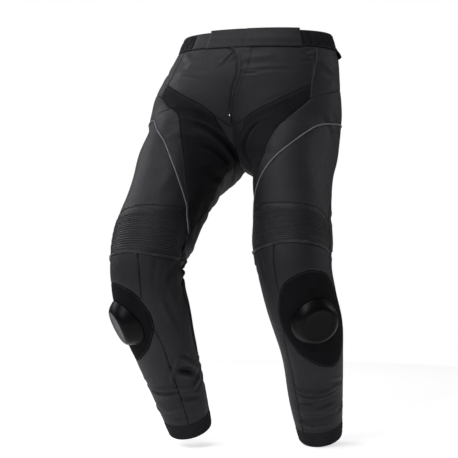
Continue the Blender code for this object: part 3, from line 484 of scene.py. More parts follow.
# A minus turns a seam round, and @1 or @-1 moves it a whole turn round the leg.
PANELS = {
    "front_panel": ("centre_front", "gusset_brow", "stretch_brow", "-hip_front", "-band_front"),
    "side_panel": ("hip_front", "stretch_end", "hip_foot", "-hip_back", "-band_side"),
    "stretch_panel": ("stretch_brow", "stretch_end", "stretch_hem", "-inseam_stretch", "-gusset_side"),
    "thigh_crescent": (
        "stretch_hem", "inseam_crescent", "-piping_end", "-piping", "-crescent_end", "-hip_foot",
    ),
    "thigh_front": ("piping", "ribs_top", "-thigh_side"),
    "knee_ribs": ("ribs_top", "ribs_side", "-ribs_foot", "-ribs_foot_inner", "-inseam_ribs", "-piping_end"),
    "knee_panel": ("ribs_foot", "knee_side", "-patch_top", "-knee_seam"),
    "knee_patch": ("patch_top", "patch_outer", "-patch_foot", "-patch_inner"),
    "shin_panel": ("patch_foot", "shin_outer", "-cuff_shin", "-shin_inner"),
    "inner_leg": (
        "ribs_foot_inner", "knee_seam", "patch_inner", "shin_inner", "-cuff_inner@-1", "-heel_inner@-1",
        "-calf_inner@-1", "knee_back_inner@-1",
    ),
    "outer_calf": (
        "knee_side", "patch_outer", "shin_outer", "cuff_outer", "-heel_outer", "-calf_outer",
        "-knee_back_outer",
    ),
    "calf_stretch": ("knee_back", "calf_inner", "-calf_foot", "-calf_outer"),
    "heel_panel": ("calf_foot", "heel_inner", "-cuff_calf", "-heel_outer"),
    "seat_panel": ("band_back", "centre_back", "-seat_foot", "-crescent_end", "-hip_back"),
    "thigh_back": (
        "seat_foot", "inseam_stretch@1", "inseam_crescent@1", "inseam_ribs@1", "-knee_back_inner",
        "-knee_back", "-knee_back_outer", "-ribs_side", "-thigh_side",
    ),
}
SEAM_STEP = 0.005


def run_length(points):
    """How far down the line each of its points lies."""
    return np.concatenate([[0], np.cumsum(np.linalg.norm(np.diff(points, axis=0), axis=1))])


def read_at(stops, length, rows):
    return np.column_stack([np.interp(stops, length, column) for column in rows.T])


def seam_curve(name, side, step=SEAM_STEP):
    """A seam's (around, along) points, evenly spaced on the garment, from one junction to the next."""
    knots = np.array(SEAMS[name])
    share = np.linspace(0, 1, 161)
    if len(knots) > 2:
        curve = Track(np.linspace(0, 1, len(knots)), knots).at(share)
    else:
        curve = knots[0] + share[:, None] * (knots[1] - knots[0])
    length = run_length(GARMENT.surface(side, *curve.T))
    stops = np.linspace(0, length[-1], max(round(length[-1] / step), 1) + 1)
    points = read_at(stops, length, curve)
    points[0], points[-1] = knots[0], knots[-1]
    return points


def outline_of(pieces, side):
    """The loop of (around, along) points that a list of seams makes."""
    loop = []
    for piece in pieces:
        name, _, turns = piece.lstrip("-").partition("@")
        points = seam_curve(name, side) + [float(turns or 0), 0.0]
        loop.extend((points[::-1] if piece.startswith("-") else points)[:-1])
    return np.array(loop)


def joined(side, names, step=SEAM_STEP):
    curves = [seam_curve(name, side, step) for name in names]
    return np.concatenate([curves[0]] + [curve[1:] for curve in curves[1:]])


print(len(SEAMS), "seams on each side,", len(PANELS), "cut pieces on each side")

# %% [markdown]
# ## Creases
# Thick leather doesn't drape in fine pleats. It buckles into a few soft ridges with a trough beside each,
# most of them where a joint bends: behind the knee, at the groin and where the leg stands on the boot.
# Each crease is placed one by one, in metres, so that no two are alike. A direction of 0 runs level round the
# body and 90 straight down, and a bend curves it.

# %% Crease table
# side, around, along, half_length, direction, bend, half_width, height
CREASES = (
    # the shins above the cuffs
    (+1, 0.275, 0.8400, 0.052, 5, -2.0, 0.0040, 0.0034),
    (+1, 0.275, 0.8515, 0.050, 3, -1.5, 0.0036, 0.0025),
    (+1, 0.226, 0.8655, 0.018, 0, 0.0, 0.0030, -0.0036),
    (+1, 0.330, 0.8740, 0.024, -4, 1.0, 0.0040, -0.0020),
    (+1, 0.250, 0.8860, 0.046, 3, 1.5, 0.0050, 0.0014),
    (+1, 0.262, 0.8990, 0.048, 1, -2.0, 0.0042, 0.0022),
    (+1, 0.180, 0.9120, 0.026, -6, 0.0, 0.0040, -0.0017),
    (+1, 0.240, 0.9260, 0.050, 2, -1.0, 0.0040, 0.0018),
    (+1, 0.430, 0.8320, 0.030, 20, 2.0, 0.0050, -0.0022),
    (+1, 0.450, 0.9000, 0.026, -12, 0.0, 0.0045, -0.0020),
    (-1, 0.200, 0.8470, 0.042, -4, 2.0, 0.0044, 0.0034),
    (-1, 0.200, 0.8640, 0.040, 3, -3.0, 0.0040, 0.0032),
    (-1, 0.300, 0.8560, 0.018, -8, 0.0, 0.0034, -0.0025),
    (-1, 0.137, 0.8010, 0.032, 51, 4.0, 0.0050, 0.0042),
    (-1, 0.028, 0.8050, 0.032, 132, -3.0, 0.0055, 0.0042),
    (-1, 0.066, 0.8150, 0.022, 152, 0.0, 0.0065, -0.0070),
    (-1, 0.100, 0.8800, 0.030, -8, 2.0, 0.0050, -0.0025),
    (-1, 0.010, 0.8560, 0.026, 16, 0.0, 0.0050, 0.0022),
    (-1, 0.230, 0.9020, 0.040, 4, 1.0, 0.0050, 0.0017),
    (-1, 0.170, 0.9240, 0.034, -5, 0.0, 0.0045, -0.0017),
    (-1, 0.430, 0.8480, 0.028, 14, 2.0, 0.0050, -0.0022),
    (-1, 0.400, 0.9100, 0.030, -9, 0.0, 0.0045, 0.0017),
    # the calves and heels, not seen
    (+1, 0.830, 0.8440, 0.050, 4, 2.0, 0.0055, -0.0022),
    (+1, 0.800, 0.8680, 0.045, -6, -2.0, 0.0050, 0.0016),
    (+1, 0.850, 0.8950, 0.040, 7, 1.0, 0.0050, -0.0018),
    (+1, 0.620, 0.8600, 0.034, 12, 0.0, 0.0050, -0.0016),
    (+1, 0.600, 0.9120, 0.028, -10, 0.0, 0.0045, 0.0013),
    (-1, 0.820, 0.8360, 0.046, -3, -2.0, 0.0050, -0.0020),
    (-1, 0.850, 0.8600, 0.050, 6, 2.0, 0.0055, 0.0018),
    (-1, 0.800, 0.8860, 0.038, -8, 0.0, 0.0050, -0.0020),
    (-1, 0.610, 0.8420, 0.030, 15, 0.0, 0.0050, -0.0016),
    (-1, 0.640, 0.8990, 0.032, -6, 0.0, 0.0045, 0.0014),
    # down the inner calves
    (-1, 0.975, 0.7200, 0.060, 86, 1.0, 0.0100, 0.0026),
    (-1, 0.930, 0.7000, 0.050, 80, -1.0, 0.0090, -0.0020),
    (+1, 0.960, 0.7050, 0.055, 95, 1.0, 0.0100, 0.0018),
    (+1, 0.060, 0.6450, 0.045, 78, 0.0, 0.0080, -0.0016),
    (-1, 0.060, 0.6600, 0.045, 100, 0.0, 0.0080, -0.0014),
    # behind and beside the knees
    (-1, 0.990, 0.5900, 0.036, 96, 2.0, 0.0065, 0.0040),
    (-1, 0.950, 0.5800, 0.030, 70, 0.0, 0.0070, -0.0032),
    (-1, 0.040, 0.5750, 0.026, 60, 3.0, 0.0060, -0.0026),
    (-1, 0.900, 0.5560, 0.030, 20, 4.0, 0.0050, 0.0028),
    (-1, 0.700, 0.5560, 0.040, -14, 2.0, 0.0060, 0.0026),
    (-1, 0.660, 0.5920, 0.036, 16, -2.0, 0.0055, -0.0030),
    (-1, 0.740, 0.6250, 0.040, 24, 0.0, 0.0060, -0.0022),
    (-1, 0.560, 0.5400, 0.026, -24, 0.0, 0.0050, -0.0020),
    (-1, 0.560, 0.5900, 0.030, 12, 2.0, 0.0050, 0.0018),
    (+1, 0.970, 0.5700, 0.030, 30, 3.0, 0.0060, -0.0032),
    (+1, 0.930, 0.5500, 0.030, 10, -3.0, 0.0055, 0.0028),
    (+1, 0.700, 0.5500, 0.040, -12, 2.0, 0.0060, 0.0024),
    (+1, 0.680, 0.5860, 0.036, 12, -2.0, 0.0055, -0.0028),
    (+1, 0.760, 0.6200, 0.036, 20, 0.0, 0.0060, -0.0020),
    (+1, 0.560, 0.5560, 0.028, -20, 0.0, 0.0050, -0.0018),
    (+1, 0.040, 0.5650, 0.024, 120, 0.0, 0.0060, -0.0022),
    (-1, 0.120, 0.5720, 0.020, 80, 0.0, 0.0050, -0.0014),
    (+1, 0.120, 0.5800, 0.024, 84, 0.0, 0.0055, -0.0012),
    # the groin and inner thighs
    (-1, 0.090, 0.2935, 0.056, 11, 0.0, 0.0046, -0.0058),
    (-1, 0.180, 0.3230, 0.034, 24, 0.0, 0.0060, 0.0012),
    (-1, 0.060, 0.3130, 0.034, 26, 3.0, 0.0042, -0.0032),
    (-1, 0.020, 0.3450, 0.036, 50, 2.0, 0.0080, -0.0030),
    (+1, 0.127, 0.2870, 0.030, 142, 0.0, 0.0042, -0.0052),
    (+1, 0.060, 0.3150, 0.028, 120, 0.0, 0.0046, -0.0028),
    (+1, 0.170, 0.2700, 0.028, 130, 0.0, 0.0060, 0.0016),
    (+1, 0.020, 0.3600, 0.040, 96, 0.0, 0.0080, -0.0022),
    (-1, 0.985, 0.4350, 0.040, 94, 0.0, 0.0070, 0.0026),
    (-1, 0.030, 0.4250, 0.034, 84, 0.0, 0.0070, -0.0022),
    # the hips and fly
    (-1, 0.197, 0.1110, 0.034, -15, 2.0, 0.0060, 0.0007),
    (-1, 0.180, 0.1000, 0.030, -10, 0.0, 0.0060, -0.0006),
    (-1, 0.240, 0.0620, 0.020, -40, 0.0, 0.0070, 0.0014),
    (-1, 0.250, 0.0900, 0.024, 60, 0.0, 0.0090, -0.0014),
    (+1, 0.095, 0.0960, 0.050, -4, 1.0, 0.0050, 0.0004),
    (+1, 0.100, 0.1060, 0.044, -5, 1.0, 0.0050, -0.0004),
    (+1, 0.046, 0.1150, 0.012, 0, 0.0, 0.0030, -0.0013),
    (+1, 0.040, 0.0700, 0.030, -7, 0.0, 0.0080, 0.0010),
    (-1, 0.042, 0.0670, 0.013, 65, 0.0, 0.0030, -0.0020),
    (-1, 0.060, 0.0760, 0.016, 50, 0.0, 0.0050, 0.0012),
    (+1, 0.245, 0.0620, 0.012, 20, 0.0, 0.0030, -0.0016),
    (+1, 0.270, 0.0560, 0.014, -30, 0.0, 0.0032, 0.0018),
    (+1, 0.296, 0.0720, 0.016, 76, 0.0, 0.0040, -0.0014),
    (+1, 0.260, 0.0770, 0.014, -12, 0.0, 0.0034, -0.0012),
    (+1, 0.360, 0.0820, 0.030, 30, 0.0, 0.0080, 0.0014),
    (+1, 0.420, 0.1100, 0.034, 12, 0.0, 0.0080, -0.0014),
    (-1, 0.400, 0.0950, 0.034, 20, 0.0, 0.0080, -0.0014),
    (+1, 0.210, 0.2000, 0.030, -50, 0.0, 0.0070, 0.0010),
    # the thighs
    (+1, 0.440, 0.2480, 0.030, 60, 2.0, 0.0080, 0.0018),
    (+1, 0.400, 0.3600, 0.060, 84, 0.0, 0.0160, -0.0014),
    (-1, 0.300, 0.2500, 0.030, 40, 0.0, 0.0080, 0.0012),
    (-1, 0.180, 0.4200, 0.040, 70, 0.0, 0.0120, 0.0014),
    (+1, 0.560, 0.4600, 0.034, -30, 0.0, 0.0070, -0.0018),
    (-1, 0.560, 0.4700, 0.030, -36, 0.0, 0.0070, -0.0018),
    # under the seat and down the backs of the thighs, not seen
    (+1, 0.860, 0.3150, 0.060, -10, 1.5, 0.0080, -0.0038),
    (+1, 0.800, 0.3420, 0.050, -14, 1.0, 0.0080, 0.0022),
    (+1, 0.880, 0.3700, 0.046, -4, 0.0, 0.0080, -0.0022),
    (-1, 0.850, 0.3100, 0.064, -8, 1.5, 0.0080, -0.0040),
    (-1, 0.780, 0.3380, 0.050, -16, 0.0, 0.0080, 0.0024),
    (-1, 0.860, 0.3720, 0.050, 2, 0.0, 0.0090, -0.0022),
    (+1, 0.800, 0.4900, 0.050, 6, -2.0, 0.0080, -0.0026),
    (-1, 0.820, 0.5000, 0.052, -6, 2.0, 0.0080, -0.0028),
    (+1, 0.920, 0.2450, 0.040, 36, 0.0, 0.0080, -0.0020),
    (-1, 0.920, 0.2450, 0.040, 40, 0.0, 0.0080, -0.0020),
    (+1, 0.900, 0.0700, 0.050, 6, 0.0, 0.0080, 0.0016),
    (-1, 0.880, 0.0760, 0.046, -4, 0.0, 0.0080, 0.0016),
    (+1, 0.750, 0.2150, 0.040, 24, 0.0, 0.0080, 0.0014),
    (-1, 0.740, 0.2100, 0.044, 20, 0.0, 0.0080, 0.0014),
)
LIP_SHARE, LIP_PLACE, LIP_WIDTH = 0.40, 2.0, 0.9
DEPTH_SCALE = 1.3


def crease_height(side, around, along):
    """The fine creases' height outwards in metres: ridges and troughs with soft lips along both sides."""
    wrapped, other = GARMENT.own_place(around, along)
    own = np.where(other, -side, side)
    total = np.zeros_like(along)
    for crease_side, middle, level, half_length, direction, bend, half_width, height in CREASES:
        turn = math.radians(direction)
        offset = wrapped - middle
        offset = np.where(along > CROTCH, (offset + 0.5) % 1 - 0.5, offset) * GIRTH
        drop = along - level
        ahead = offset * math.cos(turn) + drop * math.sin(turn)
        across = (drop * math.cos(turn) - offset * math.sin(turn) - bend * ahead**2) / half_width
        fade = np.exp(-(np.abs(ahead / half_length) ** 3))
        lips = bell((np.abs(across) - LIP_PLACE) / LIP_WIDTH)
        total += np.where(own == crease_side, height * fade * (bell(across) - LIP_SHARE * lips), 0)
    return DEPTH_SCALE * total


print(len(CREASES), "hand-placed creases")

# %% [markdown]
# ## Finishes
# Every finish is worked out from the surface itself: grain from a cell pattern, cloth from crossed threads
# on the pattern's own flat coordinates, and wear from two values that each piece carries on its points,
# how near a seam it is and how high a crease stands. Pale, smooth wear on the ridges is what makes leather
# look used.

# %% Helpers for the finishes
WAVE_PERIOD = math.pi / 10  # of Blender's band wave at a scale of 1


class Finish:
    """A material on the Principled shader, with short names for the nodes that these finishes use."""

    def __init__(self, name, **sockets):
        self.material = bpy.data.materials.new(name)
        self.material.use_nodes = True
        self.tree = self.material.node_tree
        self.shader = self.tree.nodes["Principled BSDF"]
        self.object_place = self.tree.nodes.new("ShaderNodeTexCoord").outputs["Object"]
        flat = self.tree.nodes.new("ShaderNodeUVMap")
        flat.uv_map = "pattern"
        self.flat_place = flat.outputs["UV"]
        for socket, value in sockets.items():
            self.shader.inputs[socket.replace("_", " ")].default_value = value

    def link(self, value, socket):
        if isinstance(value, bpy.types.NodeSocket):
            self.tree.links.new(value, socket)
        else:
            socket.default_value = value

    def node(self, kind, **inputs):
        made = self.tree.nodes.new(kind)
        for name, value in inputs.items():
            self.link(value, made.inputs[name.replace("_", " ")])
        return made

    def noise(self, scale, detail=3.0, roughness=0.55, place=None):
        made = self.node("ShaderNodeTexNoise", Vector=place or self.object_place, Scale=scale, Detail=detail)
        made.inputs["Roughness"].default_value = roughness
        return made.outputs["Fac"]

    def cells(self, scale, feature="DISTANCE_TO_EDGE", place=None):
        made = self.node("ShaderNodeTexVoronoi", Vector=place or self.object_place, Scale=scale)
        made.feature = feature
        return made.outputs["Distance"]

    def bands(self, period, direction, place=None, distortion=0.0):
        made = self.node("ShaderNodeTexWave", Vector=place or self.flat_place, Scale=WAVE_PERIOD / period)
        made.wave_type, made.bands_direction = "BANDS", direction
        made.inputs["Distortion"].default_value = distortion
        return made.outputs["Fac"]

    def maths(self, operation, first, second=0.0, third=0.0):
        made = self.tree.nodes.new("ShaderNodeMath")
        made.operation = operation
        for value, socket in zip((first, second, third), made.inputs):
            self.link(value, socket)
        return made.outputs[0]

    def times(self, first, second):
        return self.maths("MULTIPLY", first, second)

    def fitted(self, value, low, high, to_low=0.0, to_high=1.0):
        made = self.tree.nodes.new("ShaderNodeMapRange")
        for each, socket in zip((value, low, high, to_low, to_high), made.inputs):
            self.link(each, socket)
        return made.outputs[0]

    def spread(self, noise, low=0.0, high=1.0):
        """A noise, which mostly lies between 0.3 and 0.7, brought to a range of its own."""
        return self.fitted(noise, 0.3, 0.7, low, high)

    def carried(self, name):
        made = self.tree.nodes.new("ShaderNodeAttribute")
        made.attribute_name = name
        return made.outputs["Fac"]

    def mixed(self, share, first, second):
        made = self.tree.nodes.new("ShaderNodeMix")
        made.data_type = "RGBA"
        self.link(share, made.inputs["Factor"])
        sockets = [socket for socket in made.inputs if socket.type == "RGBA"]
        for value, socket in zip((first, second), sockets):
            self.link((*value, 1.0) if isinstance(value, tuple) else value, socket)
        return next(socket for socket in made.outputs if socket.type == "RGBA")

    def bump(self, height, distance, strength=1.0, under=None):
        made = self.node("ShaderNodeBump", Height=height, Distance=distance, Strength=strength)
        if under:
            self.link(under, made.inputs["Normal"])
        return made.outputs["Normal"]

    def finished(self, colour, roughness, normal):
        self.link(colour, self.shader.inputs["Base Color"])
        self.link(roughness, self.shader.inputs["Roughness"])
        self.link(normal, self.shader.inputs["Normal"])
        return self.material


# %% [markdown]
# ### Leather
# Cowhide has a pebbled grain of cells about a millimetre and a half wide with fine pores in them, and a
# thin coat of black dye that is a little uneven. The cells are a Voronoi pattern read as distance to the
# cell edge, because that gives rounded pebbles with sharp valleys, as on the hide. The valleys are also
# painted darker: painted shade.

# %% Leather finish
def leather_finish(name, dark, light, wear_and_welt_highlight, shine):
    made = Finish(name, Specular_IOR_Level=0.26, Coat_Weight=0.02, Coat_Roughness=0.36)
    handled = made.noise(95.0, 2.0)
    grain = made.fitted(made.cells(760.0), 0.0, 0.42)
    broad = made.fitted(made.cells(310.0), 0.0, 0.30)
    pores = made.noise(2600.0, 2.0)
    mottle = made.fitted(made.noise(14.0, 4.0), 0.35, 0.68)
    base = made.mixed(mottle, dark, light)
    ridge = made.fitted(made.carried("ridge"), 0.0004, 0.0030)
    seam = made.fitted(made.carried("edge"), 0.0006, 0.0050, 1.0, 0.0)
    patchy = made.fitted(made.noise(70.0, 3.0), 0.40, 0.70)
    # On the welt, which carries no edge values, this mask is full, and the pale colour it mixes in is painted
    # highlight.
    rubbed_and_welt_highlight = made.times(made.maths("MAXIMUM", ridge, made.times(seam, 0.55)), patchy)
    colour = made.mixed(made.times(rubbed_and_welt_highlight, 0.75), base, wear_and_welt_highlight)
    # Painted shade: the grain's valleys are darkened towards near-black, by up to a quarter.
    grain_unshaded = made.fitted(grain, 0.0, 0.35, 0.75, 1.0)
    colour = made.mixed(made.maths("SUBTRACT", 1.0, grain_unshaded), colour, (0.004, 0.004, 0.005))
    rough = made.spread(handled, shine - 0.04, shine + 0.07)
    rough = made.maths("SUBTRACT", rough, made.times(rubbed_and_welt_highlight, 0.07))
    normal = made.bump(broad, 0.00022, 0.55)
    normal = made.bump(grain, 0.00030, 0.60, normal)
    normal = made.bump(pores, 0.00010, 0.35, normal)
    return made.finished(colour, rough, normal)


LEATHER, WELT_LEATHER_PAINTED_HIGHLIGHT, RIB_LEATHER = (
    leather_finish(*row)
    for row in (
        # name, dark dye, light dye, worn, roughness
        ("leather", (0.0112, 0.0112, 0.0132), (0.0160, 0.0160, 0.0186), (0.034, 0.034, 0.038), 0.54),
        # The welt's dye and worn colours are paler than the leather's: painted highlight, so its two ridges
        # read bright.
        ("leather_welt_painted_highlight", (0.022, 0.022, 0.024), (0.034, 0.034, 0.037), (0.085, 0.085, 0.090), 0.36),
        ("leather_ribs", (0.0092, 0.0092, 0.0108), (0.0130, 0.0130, 0.0150), (0.034, 0.034, 0.038), 0.46),
    )
)

# %% [markdown]
# ### Stretch cloth
# The stretch panels are a tight aramid weave. It is matt and darker than the leather. The weave is two
# crossed bands on the flat pattern coordinates, so the threads follow the cut piece round the leg.

# %% Stretch finish
def stretch_finish():
    made = Finish("stretch_weave", Specular_IOR_Level=0.07, Sheen_Weight=0.02, Sheen_Roughness=0.45)
    warp = made.bands(0.00130, "X", distortion=0.6)
    weft = made.bands(0.00105, "Y", distortion=0.6)
    weave = made.maths("MAXIMUM", made.times(warp, 0.9), weft)
    patchy = made.fitted(made.noise(30.0, 3.0), 0.35, 0.70)
    base = made.mixed(patchy, (0.0062, 0.0062, 0.0074), (0.0098, 0.0098, 0.0114))
    # Painted highlight: the raised threads are painted lighter than the gaps between them.
    threads = made.times(made.fitted(weave, 0.55, 1.0), 0.45)
    raised = made.mixed(threads, base, (0.020, 0.020, 0.023))
    pulled = made.fitted(made.carried("ridge"), 0.0004, 0.0030, 0.0, 0.5)
    colour = made.mixed(pulled, raised, (0.026, 0.026, 0.029))
    rough = made.spread(made.noise(240.0), 0.70, 0.86)
    return made.finished(colour, rough, made.bump(weave, 0.00025, 0.8))


STRETCH = stretch_finish()

# %% [markdown]
# ### Hook-and-loop, elastic, piping, plastic, metal, thread and lining
# The patches that carry the sliders are loop cloth: a short, tangled, very matt pile. The adjusters and the
# cuffs are ribbed elastic. The piping is a reflective tape folded over a cord. The sliders are moulded
# plastic with a spark-eroded texture and fine scuffs, and the stud is bright steel. The lining is an open
# mesh. Each is a small recipe of its own.

# %% Other finishes
def loop_finish():
    made = Finish("loop_pile", Specular_IOR_Level=0.03, Sheen_Weight=0.015, Sheen_Roughness=0.6)
    tangle = made.noise(1500.0, 4.0, 0.7)
    tufts = made.cells(620.0, "F1")
    pile = made.maths("ADD", made.times(tangle, 0.7), made.times(tufts, 0.6))
    brushed = made.fitted(made.noise(40.0, 3.0), 0.35, 0.68)
    base = made.mixed(brushed, (0.0040, 0.0040, 0.0048), (0.0066, 0.0066, 0.0074))
    # Painted highlight: the pile's high tufts are painted lighter.
    colour = made.mixed(made.fitted(pile, 0.55, 0.95, 0.0, 0.6), base, (0.0165, 0.0165, 0.0180))
    return made.finished(colour, made.spread(tangle, 0.86, 0.98), made.bump(pile, 0.00045, 0.9))


def elastic_finish(name, dark, light):
    made = Finish(name, Specular_IOR_Level=0.08, Sheen_Weight=0.01, Sheen_Roughness=0.5)
    ribs = made.bands(0.0026, "Y", distortion=0.3)
    threads = made.bands(0.0009, "X", distortion=0.8)
    height = made.maths("ADD", ribs, made.times(threads, 0.35))
    base = made.mixed(made.fitted(made.noise(35.0), 0.35, 0.7), dark, light)
    # Painted highlight: the rib tops are painted lighter.
    colour = made.mixed(made.fitted(height, 0.6, 1.3, 0.0, 0.5), base, (0.024, 0.024, 0.026))
    rough = made.spread(made.noise(300.0), 0.62, 0.80)
    return made.finished(colour, rough, made.bump(height, 0.00030, 0.8))


def piping_finish():
    made = Finish("reflective_piping", Specular_IOR_Level=0.5)
    beads = made.cells(2400.0, "F1")
    dirty = made.fitted(made.noise(60.0, 4.0), 0.38, 0.72)
    colour = made.mixed(dirty, (0.150, 0.150, 0.156), (0.085, 0.085, 0.090))
    return made.finished(colour, made.fitted(beads, 0.1, 0.6, 0.34, 0.52), made.bump(beads, 0.00012, 0.6))


def slider_finish():
    made = Finish("moulded_slider", Specular_IOR_Level=0.11)
    spark = made.noise(1900.0, 3.0, 0.6)
    stretched = made.node("ShaderNodeMapping", Vector=made.object_place)
    stretched.inputs["Scale"].default_value = (1.0, 1.0, 9.0)
    stretched.inputs["Rotation"].default_value = (0.3, 0.5, 0.2)
    scuffs = made.fitted(made.noise(160.0, 5.0, 0.75, stretched.outputs["Vector"]), 0.60, 0.72)
    cloudy = made.fitted(made.noise(28.0), 0.35, 0.7)
    base = made.mixed(cloudy, (0.0022, 0.0022, 0.0027), (0.0036, 0.0036, 0.0043))
    colour = made.mixed(made.times(scuffs, 0.30), base, (0.013, 0.013, 0.015))
    rough = made.maths("ADD", made.spread(spark, 0.30, 0.40), made.times(scuffs, 0.12))
    normal = made.bump(spark, 0.00006, 0.5)
    return made.finished(colour, rough, made.bump(scuffs, 0.00008, 0.4, normal))


def metal_finish():
    made = Finish("bright_steel", Metallic=1.0)
    fine = made.noise(900.0, 3.0)
    colour = made.mixed(made.spread(fine), (0.62, 0.62, 0.63), (0.78, 0.78, 0.78))
    return made.finished(colour, made.spread(fine, 0.16, 0.28), made.bump(fine, 0.00003, 0.3))


def thread_finish():
    made = Finish("bonded_thread", Specular_IOR_Level=0.35)
    twist = made.bands(0.0007, "DIAGONAL", made.object_place)
    fine = made.noise(1400.0)
    colour = made.mixed(made.spread(fine), (0.020, 0.020, 0.022), (0.040, 0.040, 0.043))
    return made.finished(colour, made.spread(fine, 0.46, 0.62), made.bump(twist, 0.00010, 0.6))


def seam_shade_tape_finish():
    made = Finish("seam_tape", Specular_IOR_Level=0.05)
    woven = made.noise(1100.0, 3.0)
    # Painted shade: the tape is near-black, so the gaps between the pieces above it show dark.
    colour = made.mixed(made.spread(woven), (0.0030, 0.0030, 0.0034), (0.0055, 0.0055, 0.0060))
    return made.finished(colour, 0.9, made.bump(woven, 0.00010, 0.5))


def lining_finish():
    made = Finish("mesh_lining", Specular_IOR_Level=0.15)
    holes = made.fitted(made.cells(330.0, "F1", made.flat_place), 0.10, 0.22)
    threads = made.noise(1500.0)
    base = made.mixed(made.spread(threads), (0.018, 0.018, 0.020), (0.034, 0.034, 0.037))
    colour = made.mixed(holes, (0.003, 0.003, 0.003), base)
    return made.finished(colour, made.spread(threads, 0.80, 0.94), made.bump(holes, 0.00035, 0.8))


LOOP, PIPING = loop_finish(), piping_finish()
ELASTIC = elastic_finish("gathered_elastic", (0.0058, 0.0058, 0.0068), (0.0100, 0.0100, 0.0112))
CUFF_ELASTIC = elastic_finish("cuff_elastic", (0.0125, 0.0125, 0.0145), (0.0178, 0.0178, 0.0202))
SLIDER, METAL, THREAD = slider_finish(), metal_finish(), thread_finish()
SEAM_SHADE_TAPE, LINING = seam_shade_tape_finish(), lining_finish()
print(len(bpy.data.materials), "materials in the file")

# %% [markdown]
# ## Cutting a piece
# A cut piece starts as its outline in the flat pattern: one face. Insetting that face gives the turned edge
# that every sewn piece of leather has, and cutting it into rows and columns gives it enough points to
# bend. Then each point is lifted onto the body-filled surface, and a Solidify modifier gives the leather
# its thickness inwards, with the lining's finish on the inner face.

# %% Cut and lift a piece
WALL = 0.0020
SEAM_GAP = 0.0003
TURNED_EDGE = 0.0024
EDGE_DROP, DROP_WIDTH = 0.0009, 0.0011
PILLOW, PILLOW_WIDTH = 0.0007, 0.012
CHUNK = 2000  # points whose distances are worked out at once, to save memory
ROW_STEP, COLUMN_STEP, FINE_STEP = ((0.0028, 0.0045, 0.0016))
THICKNESS = 0.0017


def laid_flat(side, points):
    """The points laid flat, the right way round as seen from outside, in metres of a mean girth."""
    return np.column_stack([side * points[:, 0] * GIRTH, -points[:, 1]])


def lifted_back(side, flat):
    return flat[:, 0] / (side * GIRTH), -flat[:, 1]


def distance_to_lines(points, start, step):
    """(each point's distance to each short line, its offset from that line's start)"""
    offset = points[:, None, :] - start[None]
    share = np.clip((offset * step).sum(2) / (step * step).sum(1), 0, 1)
    return np.linalg.norm(offset - share[..., None] * step, axis=2), offset


def distance_to_outline(points, outline):
    step = np.roll(outline, -1, axis=0) - outline
    parts = np.array_split(points, max(len(points) // CHUNK, 1))
    return np.concatenate([distance_to_lines(part, outline, step)[0].min(1) for part in parts])


def flat_piece(flat_outline, turned=TURNED_EDGE, row_step=ROW_STEP, column_step=COLUMN_STEP):
    """One face over the outline, with a turned edge, cut into rows and columns."""
    piece = bmesh.new()
    corners = [piece.verts.new((x, y, 0.0)) for x, y in flat_outline]
    edges = [piece.edges.new((a, b)) for a, b in zip(corners, corners[1:] + corners[:1])]
    bmesh.ops.contextual_create(piece, geom=edges)
    if turned:
        bmesh.ops.inset_region(piece, faces=piece.faces[:], thickness=turned, use_even_offset=True)
    low, high = flat_outline.min(0), flat_outline.max(0)
    for axis, step in ((1, row_step), (0, column_step)):
        count = max(round((high[axis] - low[axis]) / step), 1)
        normal = [0.0, 0.0, 0.0]
        normal[axis] = 1.0
        for i in range(1, count):
            place = [0.0, 0.0, 0.0]
            place[axis] = low[axis] + (high[axis] - low[axis]) * i / count
            geometry = [*piece.verts, *piece.edges, *piece.faces]
            bmesh.ops.bisect_plane(piece, geom=geometry, dist=1e-5, plane_co=place, plane_no=normal)
    piece.normal_update()
    if sum(face.normal.z * face.calc_area() for face in piece.faces) < 0:
        bmesh.ops.reverse_faces(piece, faces=piece.faces[:])
    return piece


def twice_area(x, y):
    """Twice the area inside an outline, negative where it runs clockwise."""
    return (x * np.roll(y, -1) - y * np.roll(x, -1)).sum()


def anticlockwise(side, outline):
    return outline if twice_area(*laid_flat(side, outline).T) > 0 else outline[::-1]


def add_piece(name, piece, materials, thickness=THICKNESS):
    """The bmesh as a smooth-shaded object at the origin. With a thickness, Solidify gives it one inwards."""
    data = bpy.data.meshes.new(name)
    piece.to_mesh(data)
    piece.free()
    data.shade_smooth()
    for material in materials:
        data.materials.append(material)
    made = new_object(name, data)
    if thickness:
        solid = made.modifiers.new("thickness", "SOLIDIFY")
        solid.thickness, solid.offset = thickness, -1.0
        solid.material_offset = len(materials) - 1
    return made


def place_points(piece, side, points, from_edge, height, ridge):
    """Lifts a flat piece's points onto the garment and writes its pattern coordinates and wear values."""
    pattern = piece.loops.layers.uv.new("pattern")
    near_seam = piece.verts.layers.float.new("edge")
    on_ridge = piece.verts.layers.float.new("ridge")
    flat = laid_flat(side, points)
    piece.verts.index_update()
    place, normal = on_garment(side, points)
    inward = np.zeros_like(place)
    for edge in piece.edges:
        if edge.is_boundary:
            loop = edge.link_loops[0]
            a, b = loop.vert.index, loop.link_loop_next.vert.index
            step = place[b] - place[a]
            step /= max(np.linalg.norm(step), 1e-9)
            for i in (a, b):
                inward[i] += np.cross(normal[i], step)
    length = np.linalg.norm(inward, axis=1, keepdims=True)
    inward = np.where(length > 0.5, inward / np.maximum(length, 0.5), 0)
    place += inward * SEAM_GAP / 2 + normal * height[:, None]
    for vertex, near, high, at in zip(piece.verts, from_edge, ridge, place):
        vertex[near_seam], vertex[on_ridge], vertex.co = near, high, at
    for face in piece.faces:
        for loop in face.loops:
            loop[pattern].uv = flat[loop.vert.index]


def seam_edge(from_edge, drop=EDGE_DROP):
    """Half the wall, less the dip where the leather is turned under at its seam."""
    return WALL / 2 - drop * bell(from_edge / DROP_WIDTH)


